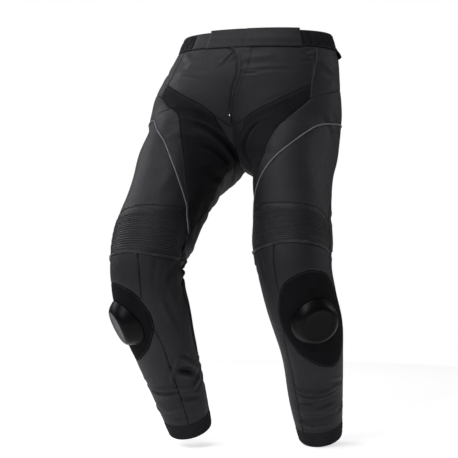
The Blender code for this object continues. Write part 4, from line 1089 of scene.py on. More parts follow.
def sewn_piece(
    name, side, outline, materials, relief=None, thickness=THICKNESS, drop=EDGE_DROP, weld=0, **cutting
):
    """A cut piece on the garment. relief(around, along, from_edge) is its own height off the surface."""
    outline = anticlockwise(side, outline)
    border = laid_flat(side, outline)
    piece = flat_piece(border, **cutting)
    flat = np.array([vertex.co[:2] for vertex in piece.verts])
    around, along = lifted_back(side, flat)
    from_edge = distance_to_outline(flat, border)
    ridge = crease_height(side, around, along)
    height = seam_edge(from_edge, drop) + ridge + PILLOW * (1 - bell(from_edge / PILLOW_WIDTH))
    if relief:
        height += relief(around, along, from_edge)
    place_points(piece, side, np.column_stack([around, along]), from_edge, height, ridge)
    if weld:
        bmesh.ops.remove_doubles(piece, verts=piece.verts[:], dist=weld)
    return add_piece(name, piece, materials, thickness)


# %% [markdown]
# ## The sheets' cuts
# A pattern maker gives every piece its size before sewing. Each outline is laid out flat at its own girth
# and brought to the area of the cloth that it makes, because leather hardly stretches. Then the smallest
# rectangle that it fits in, at any turn, is the size of the cut.

# %% Size of a cut
def cut_size(side, outline, area):
    """(width, length) of the flat cut that has this outline's shape and the cloth's own area."""
    inner = outline.mean(0) * 0.3 + outline * 0.7  # well inside the piece, where its own girth is read
    small = 0.005
    here = GARMENT.surface(side, inner[:, 0], inner[:, 1])
    by_around = np.linalg.norm(GARMENT.surface(side, inner[:, 0] + small, inner[:, 1]) - here, axis=1).mean()
    by_along = np.linalg.norm(GARMENT.surface(side, inner[:, 0], inner[:, 1] + small) - here, axis=1).mean()
    flat = outline * [by_around, by_along] / small
    x, y = flat.T
    flat *= math.sqrt(area / (abs(twice_area(x, y)) / 2))
    sizes = []
    for turn in np.radians(np.arange(0, 90, 3)):
        spin = np.array([[math.cos(turn), -math.sin(turn)], [math.sin(turn), math.cos(turn)]])
        sizes.append(np.ptp(flat @ spin, axis=0))
    return tuple(min(sizes, key=np.prod))


def stand_for(made, node, slot):
    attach(made, "root")
    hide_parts(node)


def declare(made, node, slot, side, outline, held):
    area = sum(face.area for face in made.data.polygons)
    size = cut_size(side, outline, area)
    stand_for(made, node, slot)
    width, length = (round(1000 * side_length) for side_length in size)
    print(f"{node}: {width} x {length} mm, {area * 1e4:.0f} cm2, {len(made.data.vertices)} points")


# %% [markdown]
# ## The leather and stretch panels
# All the panels are cut and laid on in one loop, because they differ only in their outline and finish. The
# stretch cloth lies a little lower, so the leather beside it stands proud, as it does where leather is
# lapped over cloth.

# %% Panels of both legs and hips
ENDING = {+1: "_left", -1: "_right"}
STRETCH_DEPTH = 0.0004
CLOTHS = {
    # slot: (finish, how it is held)
    "leather": (LEATHER, "hung"),
    "stretch": (STRETCH, "stretched"),
    "hook_patch": (LOOP, "hung"),
}
PANEL_PARTS = {
    # panel: (slot, what it is sewn to above)
    "front_panel": ("leather", "waistband_tab"),
    "side_panel": ("leather", "adjuster"),
    "stretch_panel": ("stretch", "front_panel"),
    "thigh_crescent": ("leather", "side_panel"),
    "thigh_front": ("leather", "thigh_crescent"),
    "knee_panel": ("leather", "knee_ribs"),
    "knee_patch": ("hook_patch", "knee_panel"),
    "shin_panel": ("leather", "knee_patch"),
    "inner_leg": ("leather", "knee_ribs"),
    "outer_calf": ("leather", "thigh_back"),
    "calf_stretch": ("stretch", "thigh_back"),
    "heel_panel": ("leather", "calf_stretch"),
    "seat_panel": ("leather", "waistband_back"),
    "thigh_back": ("leather", "seat_panel"),
}
FRONT_CUTTING = {"row_step": 0.0026, "column_step": FINE_STEP}
FLY_LINE = (
    (-0.075, 0.034), (-0.037, 0.050), (-0.017, 0.076), (-0.007, 0.104), (-0.005, 0.120), (-0.015, 0.148),
    (-0.015, 0.186), (-0.015, 0.216),
)
LIP_FROM_LINE, LIP_HALF_WIDTH, LIP_HEIGHT = 0.0050, 0.0026, 0.0024
GROOVE_HALF_WIDTH, GROOVE_DEPTH = 0.0017, 0.0024


def fly_fold(side):
    """The dark slit of the fly, with the rounded lip of the folded leather beside it."""

    def relief(around, along, from_edge):
        line = laid_flat(+1, np.array(FLY_LINE))
        step = np.diff(line, axis=0)
        away, offset = distance_to_lines(np.column_stack([around * side * GIRTH, -along]), line[:-1], step)
        nearest = away.argmin(1)
        each = np.arange(len(around))
        near_step, near_offset = step[nearest], offset[each, nearest]
        side_of = np.sign(near_step[:, 0] * near_offset[:, 1] - near_step[:, 1] * near_offset[:, 0])
        signed = away[each, nearest] * side_of
        lip = LIP_HEIGHT * bell((signed - LIP_FROM_LINE) / LIP_HALF_WIDTH)
        return lip - GROOVE_DEPTH * bell(signed / GROOVE_HALF_WIDTH)

    return relief


def panel_relief(name, side):
    def lower(around, along, from_edge):
        return np.full_like(around, -STRETCH_DEPTH)

    return {"stretch_panel": lower, "calf_stretch": lower, "front_panel": fly_fold(side)}.get(name)


for side, ending in ENDING.items():
    for name, (slot, above) in PANEL_PARTS.items():
        finish, held = CLOTHS[slot]
        outline = outline_of(PANELS[name], side)
        cutting = FRONT_CUTTING if name == "front_panel" else {}
        relief = panel_relief(name, side)
        made = sewn_piece(name + ending + "_sewn", side, outline, (finish, LINING), relief, **cutting)
        above = above if above.startswith("waistband") else above + ending
        declare(made, name + ending, slot, side, outline, held)

# %% [markdown]
# The gusset is the small shield under the fly where four panels meet. It crosses the centre, so its outline
# is the left half's seams with the right half's mirrored behind them.

# %% Gusset
def gusset_outline():
    left = np.concatenate([seam_curve("gusset_brow", +1)[:-1], seam_curve("gusset_side", +1)])
    right = np.concatenate([seam_curve("gusset_brow", -1), seam_curve("gusset_side", -1)[1:-1]])
    right[:, 0] *= -1
    return np.concatenate([left, right[:0:-1]])


gusset = sewn_piece("gusset_sewn", +1, gusset_outline(), (LEATHER, LINING))
declare(gusset, "gusset", "leather", +1, gusset_outline(), "hung")

# %% [markdown]
# ## The ribbed knees
# The accordion panel lets the knee bend: rows of leather pleats with elastic behind them. Its 21 ridges run
# level and close up evenly between the seams above and below. So it is cut in squared-up coordinates, where
# the ribs are straight, and a cosine lifts the ridges. They die away before the seams.

# %% Knee ribs
RIB_COUNT, RIB_HEIGHT, RIB_MARGIN, RIB_FADE = 21, 0.0017, 0.002, 0.014
RIB_TURNED, RIB_COLUMN = 0.0018, 0.009
SQUARED_DEPTH = 0.10  # of the panel in squared-up coordinates
POINTS_A_RIB = 6


def rib_edges(side):
    top = np.concatenate([seam_curve("piping_end", side)[::-1], seam_curve("ribs_top", side)])
    foot = np.concatenate([seam_curve("ribs_foot_inner", side), seam_curve("ribs_foot", side)])
    return top, foot


def ribbed_piece(side, ending):
    top, foot = rib_edges(side)
    outline = anticlockwise(side, outline_of(PANELS["knee_ribs"], side))

    def edges_at(around):
        return (np.interp(around, edge[:, 0], edge[:, 1]) for edge in (top, foot))

    high, low = edges_at(outline[:, 0])
    share = (outline[:, 1] - high) / (low - high)
    squared = laid_flat(side, np.column_stack([outline[:, 0], SQUARED_DEPTH * share]))
    row_step = SQUARED_DEPTH / RIB_COUNT / POINTS_A_RIB
    piece = flat_piece(squared, turned=RIB_TURNED, row_step=row_step, column_step=RIB_COLUMN)
    around, depth = lifted_back(side, np.array([vertex.co[:2] for vertex in piece.verts]))
    share = depth / SQUARED_DEPTH
    high, low = edges_at(around)
    points = np.column_stack([around, high + share * (low - high)])
    border = laid_flat(side, outline)
    from_edge = distance_to_outline(laid_flat(side, points), border)
    wave = 0.5 - 0.5 * np.cos(2 * math.pi * RIB_COUNT * share)
    uneven = 0.82 + 0.18 * np.sin(19 * around + 2.1 * np.floor(RIB_COUNT * share))
    height = RIB_HEIGHT * wave**0.8 * uneven * ease((from_edge - RIB_MARGIN) / RIB_FADE)
    height += seam_edge(from_edge)
    place_points(piece, side, points, from_edge, height, 0.6 * RIB_HEIGHT * wave)
    return add_piece("knee_ribs" + ending + "_sewn", piece, (RIB_LEATHER, LINING))


for side, ending in ENDING.items():
    ribs = ribbed_piece(side, ending)
    outline = outline_of(PANELS["knee_ribs"], side)
    declare(ribs, "knee_ribs" + ending, "leather", side, outline, "hung")

# %% [markdown]
# ## Waistband and cuffs
# The waistband is a doubled strip of leather with a gathered elastic at each side, so that one size fits
# several waists. Its front tab closes over the fly. The cuffs are ribbed elastic bands. Each is a rectangle
# in the pattern, so its outline needs only its ends and its two edges.

# %% Bands
TAB_RIGHT, TAB_LEFT, TAB_RISE, TAB_LIFT, TAB_LAP, TAB_DROP = -0.155, 0.225, 0.0035, 0.0023, 0.017, 0.0025
LAP_HEIGHT, LAP_OVER, VALLEY_DEPTH, VALLEY_BEFORE, VALLEY_WIDTH = 0.0011, 0.004, 0.0012, 0.003, 0.0035
TAB_FOLD_HEIGHT, TAB_FOLD_ALONG, TAB_FOLD_SLOPE, TAB_FOLD_WIDTH = 0.0009, 0.020, 0.02, 0.006
ADJUSTER_START, ADJUSTER_END, PUCKER_FADE = 0.245, 0.500, 0.006
FLAP_START, FLAP_TOP, FLAP_FOOT, FLAP_FLARE = 0.500, 0.032, 0.052, 0.006
BAND_FOOT = WAISTBAND_FOOT - SEAM_GAP


def band_outline(start, end, top, foot):
    """A rectangle in (around, along), with points round the body close enough to follow it."""
    steps = max(round(abs(end - start) * GIRTH / SEAM_STEP), 1)
    around = np.linspace(start, end, steps + 1)
    upper = np.column_stack([around, np.full(len(around), top)])
    lower = np.column_stack([around[::-1], np.full(len(around), foot)])
    return np.concatenate([upper, lower])


def tab_relief(around, along, from_edge):
    """The tab's wearer's-left end laps over the other at the centre front."""
    lap = LAP_HEIGHT * ease(around / LAP_OVER)
    valley = -VALLEY_DEPTH * bell((around + VALLEY_BEFORE) / VALLEY_WIDTH)
    fold = TAB_FOLD_HEIGHT * bell((along - TAB_FOLD_ALONG - TAB_FOLD_SLOPE * around) / TAB_FOLD_WIDTH)
    return TAB_LIFT + lap + valley + fold


def gathered(strength, phase):
    """Upright puckers of uneven width, as elastic pulls up the leather or webbing over it."""

    def relief(around, along, from_edge):
        fade = ease(from_edge / PUCKER_FADE)
        drift = 0.008 * np.sin(90 * along + phase)
        slow = np.sin(150 * (around + drift) + phase) + 0.6 * np.sin(263 * (around - drift) + 2 * phase)
        return strength * fade * slow

    return relief


tab = band_outline(TAB_RIGHT, TAB_LEFT, -TAB_RISE, WAISTBAND_FOOT + TAB_DROP)
band_end = band_outline(-TAB_RIGHT - TAB_LAP, ADJUSTER_START, 0.0, BAND_FOOT)
right_adjuster = band_outline(ADJUSTER_START, ADJUSTER_END, 0.0, BAND_FOOT)
left_adjuster = band_outline(TAB_LEFT - TAB_LAP, ADJUSTER_END, 0.0, BAND_FOOT)
back_band = band_outline(ADJUSTER_END, 2 - ADJUSTER_END, 0.0, BAND_FOOT)
FINE_COLUMNS = {"column_step": ROW_STEP, "row_step": ROW_STEP}
BANDS = (
    # node, side, outline, slot, finish, relief, how it is held, what it is sewn to
    ("waistband_tab", +1, tab, "leather", LEATHER, tab_relief, "hung", "front_panel_left"),
    ("waistband_end", -1, band_end, "leather", LEATHER, None, "hung", "front_panel_right"),
    (
        "adjuster_right", -1, right_adjuster, "elastic", ELASTIC, gathered(0.0009, 1.7), "gathered",
        "side_panel_right",
    ),
    (
        "adjuster_left", +1, left_adjuster, "elastic", ELASTIC, gathered(0.0012, 0.4), "gathered",
        "side_panel_left",
    ),
    ("waistband_back", +1, back_band, "leather", LEATHER, None, "hung", "seat_panel_left"),
)
for node, side, outline, slot, finish, relief, held, sewn_to in BANDS:
    made = sewn_piece(node + "_sewn", side, outline, (finish, LINING), relief, **FINE_COLUMNS)
    declare(made, node, slot, side, outline, held)

# %% [markdown]
# The flap under the back of the waistband carries the zip that joins the trousers to a jacket. It is sewn
# on along its top edge only, so its foot stands off the seat.

# %% Connector flap
FLAP_LIFT, FLAP_WAVE = 0.0020, 0.0010


def flap_relief(around, along, from_edge):
    down = rise(along, FLAP_TOP, FLAP_FOOT)
    return FLAP_LIFT + (FLAP_FLARE + FLAP_WAVE * np.sin(38 * around)) * down


flap = band_outline(FLAP_START, 2 - FLAP_START, FLAP_TOP, FLAP_FOOT)
connector_flap = sewn_piece(
    "connector_flap_sewn", +1, flap, (ELASTIC, ELASTIC), flap_relief, 0.0014, 0.0003,
    row_step=0.003, turned=0.0015,
)
declare(connector_flap, "connector_flap", "elastic", +1, flap, "hung")

# %% [markdown]
# A cuff goes all round the leg, and its two ends are welded at the inseam. Its top is tucked under the
# leather. Soft level rolls run round it, where the elastic has been pulled over a boot.

# %% Cuffs
CUFF_TUCK, CUFF_TUCK_DEPTH = 0.0045, 0.0028
ROLL_HEIGHT, ROLL_SPACING, ROLL_FADE = 0.0009, 0.0085, 0.006
HEM_LIP, HEM_LIP_WIDTH = 0.0011, 0.0035


def cuff_relief(side):
    def relief(around, along, from_edge):
        down = along - CUFF_TOP
        rolls = ROLL_HEIGHT * np.sin(2 * math.pi * (down / ROLL_SPACING + 0.35 * np.sin(5 * around + side)))
        lip = HEM_LIP * bell((HEM - along) / HEM_LIP_WIDTH)
        tucked = -CUFF_TUCK_DEPTH * (1 - ease((down + 0.0015) / 0.0020))
        return rolls * ease(down / ROLL_FADE) * ease((HEM - along) / ROLL_FADE) + lip + tucked

    return relief


for side, ending in ENDING.items():
    outline = band_outline(0.0, 1.0, CUFF_TOP - CUFF_TUCK, HEM)
    cuff = sewn_piece(
        "cuff" + ending + "_sewn", side, outline, (CUFF_ELASTIC, LINING), cuff_relief(side),
        weld=0.0008, row_step=0.0020,
    )
    declare(cuff, "cuff" + ending, "elastic", side, outline, "stretched")

# %% [markdown]
# ## The fly
# A leather cover hides the zip. Its free edge makes the J-shaped line from the waistband, and leans to the
# wearer's right below it. The cover is one more cut piece, laid on top of the two front panels.

# %% Fly cover
FLY_EDGE = (
    (-0.030, 0.0405), (-0.022, 0.060), (-0.014, 0.075), (-0.010, 0.090), (-0.008, 0.105), (-0.008, 0.120),
    (-0.010, 0.138), (-0.012, 0.155), (-0.014, 0.171), (-0.015, 0.187), (-0.015, 0.203), (-0.012, 0.217),
    (-0.004, 0.223), (0.002, 0.235), (0.012, 0.228), (0.018, 0.214), (0.021, 0.200), (0.025, 0.184),
    (0.028, 0.167), (0.030, 0.150), (0.031, 0.133), (0.032, 0.116), (0.032, 0.100), (0.031, 0.083),
    (0.029, 0.066), (0.026, 0.0405), (0.008, 0.0405), (-0.010, 0.0405),
)


def fly_relief(around, along, from_edge):
    return 0.0002 + 0.0014 * ease(from_edge / 0.0045) + fly_fold(+1)(around, along, from_edge)


fly = sewn_piece(
    "fly_placket_sewn", +1, np.array(FLY_EDGE), (LEATHER, LINING), fly_relief, 0.0012, 0.0002,
    turned=0.0015, row_step=0.0024, column_step=FINE_STEP,
)
declare(fly, "fly_placket", "leather", +1, np.array(FLY_EDGE), "hung")

# %% [markdown]
# ## Raised lines
# Piping is a cord inside a folded tape, caught in the seam, so a half-round ridge stands along the seam.
# The welt at the foot of the knee ribs is two such ridges side by side. Both are made from a grid whose
# rows are bent round the seam and whose columns are lifted to the section.

# %% Piping and knee welts
ACROSS, TAPER_ROWS = 8, 4
LINE_STEP, LINE_LIFT, LINE_THICKNESS = 0.004, WALL / 2 + 0.0003, 0.0006


def along_curve(side, curve):
    """(places, outward directions, sideways directions) along a curve of (around, along) points"""
    place, normal = on_garment(side, curve)
    return place, normal, unit(np.cross(normal, unit(np.gradient(place, axis=0))))


def grid_row(vertex, rows):
    """Which row across a grid of size 1 the vertex is in."""
    return min(round((vertex.co.x + 1) / 2 * (rows - 1)), rows - 1)


def raised_line(name, side, names, width, section, finish):
    """A strip along a seam. section(t) is its height where t runs from -1 to 1 across it."""
    curve = joined(side, names, LINE_STEP)[1:-1]
    place, normal, sideways = along_curve(side, curve)
    rows = len(curve)
    crease = crease_height(side, *curve.T)
    piece = bmesh.new()
    bmesh.ops.create_grid(piece, x_segments=rows - 1, y_segments=ACROSS, size=1.0)
    pattern = piece.loops.layers.uv.new("pattern")
    for vertex in piece.verts:
        i = grid_row(vertex, rows)
        t = vertex.co.y
        taper = min(1.0, (i + 0.6) / TAPER_ROWS, (rows - 0.4 - i) / TAPER_ROWS)
        height = LINE_LIFT + crease[i] + section(t) * taper
        vertex.co = place[i] + sideways[i] * t * width / 2 + normal[i] * height
    for face in piece.faces:
        for loop in face.loops:
            loop[pattern].uv = loop.vert.co[:2]
    bmesh.ops.recalc_face_normals(piece, faces=piece.faces[:])
    outward = sum(face.normal.dot(Vector(normal[0])) for face in piece.faces[: 4 * ACROSS])
    if outward < 0:
        bmesh.ops.reverse_faces(piece, faces=piece.faces[:])
    return add_piece(name, piece, (finish,), LINE_THICKNESS)


def half_round(t):
    return 0.0016 * math.sqrt(max(1 - t * t, 0.0)) + 0.0002


def two_ridges(t):
    return 0.0022 * abs(math.sin(math.pi * (t + 1))) ** 0.7 + 0.0003


RAISED_LINES = (
    # name, node, slot, seams, width, section, finish
    ("piping_cord", "thigh_piping", "piping", ("piping", "piping_end"), 0.0034, half_round, PIPING),
    (
        "welt_ridges", "knee_welt", "leather", ("ribs_foot_inner", "ribs_foot"), 0.0062, two_ridges,
        WELT_LEATHER_PAINTED_HIGHLIGHT,
    ),
)
for side, ending in ENDING.items():
    for name, node, slot, names, width, section, finish in RAISED_LINES:
        made = raised_line(name + ending, side, names, width, section, finish)
        stand_for(made, node + ending, slot)
        print(name + ending, len(made.data.vertices), "points")

# %% [markdown]
# ## Knee sliders
# A slider is one thick moulded disc that a rider can rest on the road. It has a flat, slightly dished face,
# a rim that catches the light, and a flank that slopes down to a thin foot. The section is spun once round,
# then its foot is bent to the patch while its face stays flat and plain.

# %% Sliders
SLIDER_AT = np.array([[0.325, 0.675]])  # its middle's around and along
SLIDER_TILT = {+1: 0.0, -1: 13.0}  # degrees outwards, where the patch has settled round the knee
SLIDER_TURNS = 96
SLIDER_SECTION = (
    # radius, height above the patch
    (0.0000, 0.0176), (0.0120, 0.0176), (0.0240, 0.0178), (0.0305, 0.0182), (0.0332, 0.0188),
    (0.0352, 0.0195), (0.0368, 0.0195), (0.0384, 0.0189), (0.0404, 0.0177), (0.0428, 0.0158),
    (0.0452, 0.0134), (0.0476, 0.0104), (0.0498, 0.0072), (0.0514, 0.0050), (0.0525, 0.0037),
    (0.0530, 0.0026), (0.0530, 0.0012), (0.0524, 0.0004), (0.0500, 0.0000), (0.0300, 0.0000),
    (0.0000, 0.0000),
)
SLIDER_DEPTH = 0.88
FACE_STARTS, FLANK_ENDS = 0.0035, 0.0130
DISC_LIFT = WALL / 2 + 0.0009


def spun(section, turns):
    """A closed turned shape from a table of radius and height."""
    piece = bmesh.new()
    verts = [piece.verts.new((radius, 0.0, height)) for radius, height in section]
    edges = [piece.edges.new(pair) for pair in zip(verts, verts[1:])]
    bmesh.ops.spin(
        piece, geom=verts + edges, axis=(0, 0, 1), cent=(0, 0, 0), angle=math.tau, steps=turns, use_merge=True
    )
    bmesh.ops.remove_doubles(piece, verts=piece.verts[:], dist=1e-5)
    return piece


def by_coordinate(side, place, around, along, step=0.002):
    """How far each place moves for one unit of around and one of along."""
    by_around = (GARMENT.surface(side, around + step, along) - place) / step
    return by_around, (GARMENT.surface(side, around, np.minimum(along + step, HEM)) - place) / step


def slider(side, ending):
    piece = spun(SLIDER_SECTION, SLIDER_TURNS)
    middle, normal = (rows[0] for rows in on_garment(side, SLIDER_AT))
    by_around, by_along = (rows[0] for rows in by_coordinate(side, middle, *SLIDER_AT.T))
    right = unit(by_around - normal * (by_around @ normal))
    up = np.cross(normal, right)
    tilt = math.radians(SLIDER_TILT[side])
    face_normal = normal * math.cos(tilt) + right * math.sin(tilt)
    face_right = right * math.cos(tilt) - normal * math.sin(tilt)
    local = np.array([vertex.co for vertex in piece.verts]) * [1, 1, SLIDER_DEPTH]
    reach = local[:, :1] * right + local[:, 1:2] * up
    step = np.linalg.lstsq(np.column_stack([by_around, by_along]), reach.T, rcond=None)[0].T
    place, outward = on_garment(side, SLIDER_AT + step)
    bent = place + outward * (DISC_LIFT + local[:, 2:])
    flat = middle + normal * DISC_LIFT
    flat = flat + local[:, :1] * face_right + local[:, 1:2] * up + local[:, 2:] * face_normal
    share = rise(local[:, 2:], FACE_STARTS, FLANK_ENDS)
    for vertex, point in zip(piece.verts, bent * (1 - share) + flat * share):
        vertex.co = point
    bmesh.ops.recalc_face_normals(piece, faces=piece.faces[:])
    made = add_piece("moulded_slider" + ending, piece, (SLIDER,), None)
    stand_for(made, "knee_slider" + ending, "slider")
    print("slider", ending, len(made.data.vertices), "points")


for side, ending in ENDING.items():
    slider(side, ending)

# %% [markdown]
# The stud at the foot of the fly is a small domed rivet that stops the zip.

# %% Zip stop
STOP_AT = np.array([[0.0135, 0.227]])
STOP_SECTION = (
    # radius, height above the leather
    (0.0, 0.0036), (0.0010, 0.0034), (0.0018, 0.0027), (0.0024, 0.0016), (0.0026, 0.0004), (0.0026, -0.001),
)
STOP_TURNS, STOP_LIFT = 24, WALL / 2 + 0.0012


def zip_stop():
    piece = spun(STOP_SECTION, STOP_TURNS)
    bmesh.ops.holes_fill(piece, edges=piece.edges[:], sides=0)
    middle, normal = (Vector(rows[0]) for rows in on_garment(-1, STOP_AT))
    turn = normal.to_track_quat("Z", "Y").to_matrix().to_4x4()
    bmesh.ops.transform(piece, matrix=turn, verts=piece.verts[:])
    bmesh.ops.translate(piece, vec=middle + normal * STOP_LIFT, verts=piece.verts[:])
    bmesh.ops.recalc_face_normals(piece, faces=piece.faces[:])
    stand_for(add_piece("zip_stop_stud", piece, (METAL,), None), "zip_stop", "metal")


zip_stop()

# %% [markdown]
# ## Seam tapes
# Inside the garment a thin tape is glued along every seam, so that no light comes through. Its near-black
# colour is painted seam shade, seen in the narrow gaps between the pieces. All the tapes of one side are
# grids in one bmesh, each bent along its seam under the leather.

# %% Tapes
TAPE_WIDTH, TAPE_DEPTH, TAPE_THICKNESS, TAPE_STEP = 0.0080, 0.0031, 0.0004, 0.006


def seam_tapes(side, ending):
    piece = bmesh.new()
    for name in SEAMS:
        curve = seam_curve(name, side, TAPE_STEP)
        place, normal, sideways = along_curve(side, curve)
        depth = WALL / 2 - TAPE_DEPTH + crease_height(side, *curve.T)
        rows = len(curve)
        grid = bmesh.ops.create_grid(piece, x_segments=rows - 1, y_segments=2, size=1.0)
        for vertex in grid["verts"]:
            i = grid_row(vertex, rows)
            vertex.co = place[i] + sideways[i] * vertex.co.y * TAPE_WIDTH / 2 + normal[i] * depth[i]
    made = add_piece("seam_tapes" + ending, piece, (SEAM_SHADE_TAPE,), TAPE_THICKNESS)
    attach(made, "root")
    print("seam tapes", ending, len(made.data.vertices), "points")


for side, ending in ENDING.items():
    seam_tapes(side, ending)

# %% [markdown]
# ## Topstitching
# Each leather seam is topstitched with thick bonded thread, four millimetres a stitch. A stitch is a short
# bead that dips into the leather at both ends, which a bevelled curve of four points gives. All the
# stitches of one side are splines of one curve, turned into a mesh at the end.

# %% Stitches
STITCH, STITCH_GAP, THREAD_RADIUS, ROW_MARGIN = 0.0030, 0.0010, 0.00038, 0.002
INSIDE_EDGE = 0.0005
STITCH_STOPS = np.array([0.0, 0.25, 0.75, 1.0])
STITCH_HEIGHTS = np.array([[-0.0002], [0.00016], [0.00016], [-0.0002]])
STITCH_STEP = STITCH + STITCH_GAP
STITCH_LINES = (
    # distances to either side of a seam, the seams that have them
    ((0.0030,), (
        "band_front", "band_side", "band_back", "centre_back", "crescent_end", "ribs_side", "knee_side",
        "patch_inner", "patch_foot", "knee_back_outer", "calf_inner", "calf_foot", "heel_outer", "heel_inner",
    )),
    ((-0.0030,), ("hip_foot", "patch_top", "patch_outer", "calf_outer")),
    ((-0.0030, 0.0030), ("hip_front", "hip_back", "seat_foot", "thigh_side", "shin_inner", "shin_outer")),
    ((-0.0035, 0.0030), ("cuff_shin", "cuff_outer", "cuff_calf", "cuff_inner")),
    ((-0.0028, 0.0028), ("knee_seam",)),
    ((-0.0028, -0.0060), ("stretch_brow",)),
    ((0.0028, 0.0060), ("stretch_hem",)),
    ((-0.0028,), ("stretch_end",)),
    ((-0.0032,), ("ribs_top",)),
    ((0.0042,), ("piping",)),
    ((0.0056,), ("ribs_foot", "ribs_foot_inner")),
)


def stitched_lines(side):
    """Lines of (points, outward directions), each along one side of a seam and on the creases."""
    for distances, names in STITCH_LINES:
        for name in names:
            curve = seam_curve(name, side, LINE_STEP)
            for distance in distances:
                yield moved_across(side, curve, distance)


def moved_across(side, curve, distance, lift=0.0):
    place, normal, sideways = along_curve(side, curve)
    by_around, by_along = by_coordinate(side, place, *curve.T)
    moved = curve.copy()
    for i in range(len(curve)):
        if np.linalg.norm(by_along[i]) > 0.1:
            basis = np.column_stack([by_around[i], by_along[i]])
            moved[i] += np.linalg.lstsq(basis, sideways[i] * side * distance, rcond=None)[0]
    moved[:, 1] = np.clip(moved[:, 1], INSIDE_EDGE, HEM - INSIDE_EDGE)
    place, normal = on_garment(side, moved)
    height = WALL / 2 + crease_height(side, *moved.T) + PILLOW * (1 - bell(distance / PILLOW_WIDTH)) + lift
    return place + normal * height[:, None], normal


def stitch_curve(name, lines):
    data = bpy.data.curves.new(name, "CURVE")
    data.dimensions, data.bevel_depth, data.bevel_resolution = "3D", THREAD_RADIUS, 0
    data.use_fill_caps = True
    for points, normal in lines:
        length = run_length(points)
        for start in np.arange(ROW_MARGIN, length[-1] - STITCH - ROW_MARGIN, STITCH_STEP):
            stops = start + STITCH * STITCH_STOPS
            place = read_at(stops, length, points) + read_at(stops, length, normal) * STITCH_HEIGHTS
            spline = data.splines.new("POLY")
            spline.points.add(len(place) - 1)
            spline.points.foreach_set("co", np.column_stack([place, np.ones(len(place))]).ravel())
    count = len(data.splines)
    curve = bpy.data.objects.new(name + "_curve", data)
    mesh = bpy.data.meshes.new_from_object(curve)
    bpy.data.objects.remove(curve)
    mesh.shade_smooth()
    mesh.materials.clear()
    mesh.materials.append(THREAD)
    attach(new_object(name, mesh), "root")
    print(name, count, "stitches,", len(mesh.polygons), "faces")


for side, ending in ENDING.items():
    stitch_curve("topstitching" + ending, stitched_lines(side))

# %% [markdown]
# The waistband has a row along its top and one along its foot. The tab has two across each end, and one
# beside its lap.

# %% Waistband stitches
ROW_POINTS, CROSS_POINTS, ROW_INSET, ROW_END, ON_LAP = 60, 12, 0.0035, 0.006, 0.0012


def band_rows():
    for side, start, end, lift in (
        (+1, TAB_LEFT + ROW_END, 1.0, 0.0002),
        (-1, -TAB_RIGHT + ROW_END, 1.0, 0.0002),
        (+1, ROW_END, TAB_LEFT - ROW_END, TAB_LIFT + ON_LAP),
        (-1, ROW_END, -TAB_RIGHT - ROW_END, TAB_LIFT),
    ):
        around = np.linspace(start, end, ROW_POINTS)
        for along in (ROW_INSET, BAND_FOOT - ROW_INSET):
            yield moved_across(side, np.column_stack([around, np.full(ROW_POINTS, along)]), 0.0, lift)
    along = np.linspace(0.004, BAND_FOOT - 0.004, CROSS_POINTS)
    for side, around, lift in (
        (+1, TAB_LEFT - 0.007, ON_LAP),
        (+1, TAB_LEFT - 0.013, ON_LAP),
        (-1, -TAB_RIGHT - 0.007, 0.0),
        (-1, -TAB_RIGHT - 0.013, 0.0),
        (+1, 0.007, 0.0010),
    ):
        line = np.column_stack([np.full(CROSS_POINTS, around), along])
        yield moved_across(side, line, 0.0, TAB_LIFT + lift)


stitch_curve("waistband_stitching", band_rows())

# %% [markdown]
# ## Light and floor
# A pale studio floor and a surround, both white to the camera and dimmer to the leather, because black
# leather shows its form by what it reflects. Large soft lights stand where the photograph's highlights ask
# for them: a strong one behind the viewer's left, one in front on the same side, one above, and a weaker
# one behind the right.

# %% Floor
FLOOR_RADIUS, FLOOR_GAP = 1.7, 0.0005
FLOOR_GLOW, SURROUND_GLOW = (0.64, 0.28), (1.0, 0.12)  # as seen by the camera, and as cast on the leather


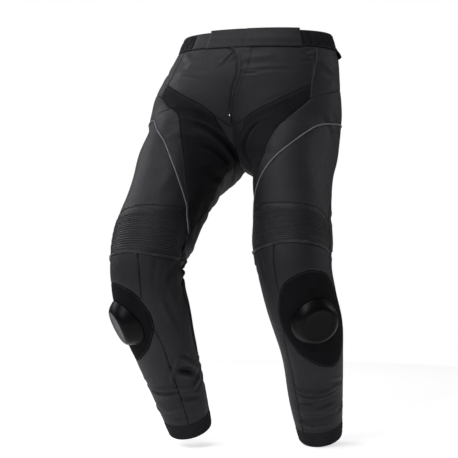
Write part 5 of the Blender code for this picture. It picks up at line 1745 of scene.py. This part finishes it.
def seen_and_cast(tree, socket, seen, cast):
    """Gives a strength one value to the camera (seen) and another to everything else (cast)."""
    ray = tree.nodes.new("ShaderNodeLightPath")
    strength = tree.nodes.new("ShaderNodeMapRange")
    tree.links.new(ray.outputs["Is Camera Ray"], strength.inputs["Value"])
    strength.inputs["To Min"].default_value, strength.inputs["To Max"].default_value = cast, seen
    tree.links.new(strength.outputs[0], socket)


def add_floor():
    piece = bmesh.new()
    bmesh.ops.create_circle(piece, cap_ends=True, segments=96, radius=FLOOR_RADIUS)
    bmesh.ops.translate(piece, vec=(0.0, 0.0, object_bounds()[0][2] - FLOOR_GAP), verts=piece.verts[:])
    made = Finish("pale_floor", Emission_Color=(1.0, 1.0, 1.0, 1.0))
    soft = made.mixed(made.noise(3.0), (0.84, 0.84, 0.845), (0.88, 0.88, 0.88))
    normal = made.bump(made.noise(40.0), 0.0005, 0.1)
    seen_and_cast(made.tree, made.shader.inputs["Emission Strength"], *FLOOR_GLOW)
    add_piece("floor", piece, (made.finished(soft, 0.85, normal),), None)


add_floor()

# %% Lights
def add_area(name, place, target, size, power):
    light = new_object(name, bpy.data.lights.new(name, "AREA"))
    light.data.shape, light.data.size, light.data.energy = "DISK", size, power
    light.data.color = (0.96, 0.95, 1.0)
    light.location = place
    light.rotation_euler = (Vector(target) - Vector(place)).to_track_quat("-Z", "Y").to_euler()


LIGHTS = (
    # name, place, what it shines at, width, power
    ("overhead", (0.0, -0.9, 1.2), (0.0, 0.0, -0.1), 1.1, 10.0),
    ("left_edge", (-1.8, 0.1, 0.5), (0.0, 0.0, -0.30), 1.4, 18.0),
    ("front_left", (-1.0, -2.4, 1.3), (0.0, 0.0, 0.10), 1.6, 44.0),
    ("right_edge", (2.0, 0.9, 0.3), (0.1, 0.0, -0.30), 1.2, 9.0),
)
for row in LIGHTS:
    add_area(*row)

# %% Surround
def add_surround(seen, cast):
    world = bpy.data.worlds.new("surround")
    bpy.context.scene.world = world
    world.use_nodes = True
    tree = world.node_tree
    background = tree.nodes["Background"]
    background.inputs["Color"].default_value = (1.0, 1.0, 1.0, 1.0)
    seen_and_cast(tree, background.inputs["Strength"], seen, cast)


add_surround(*SURROUND_GLOW)
bpy.context.scene.view_settings.view_transform = "Standard"
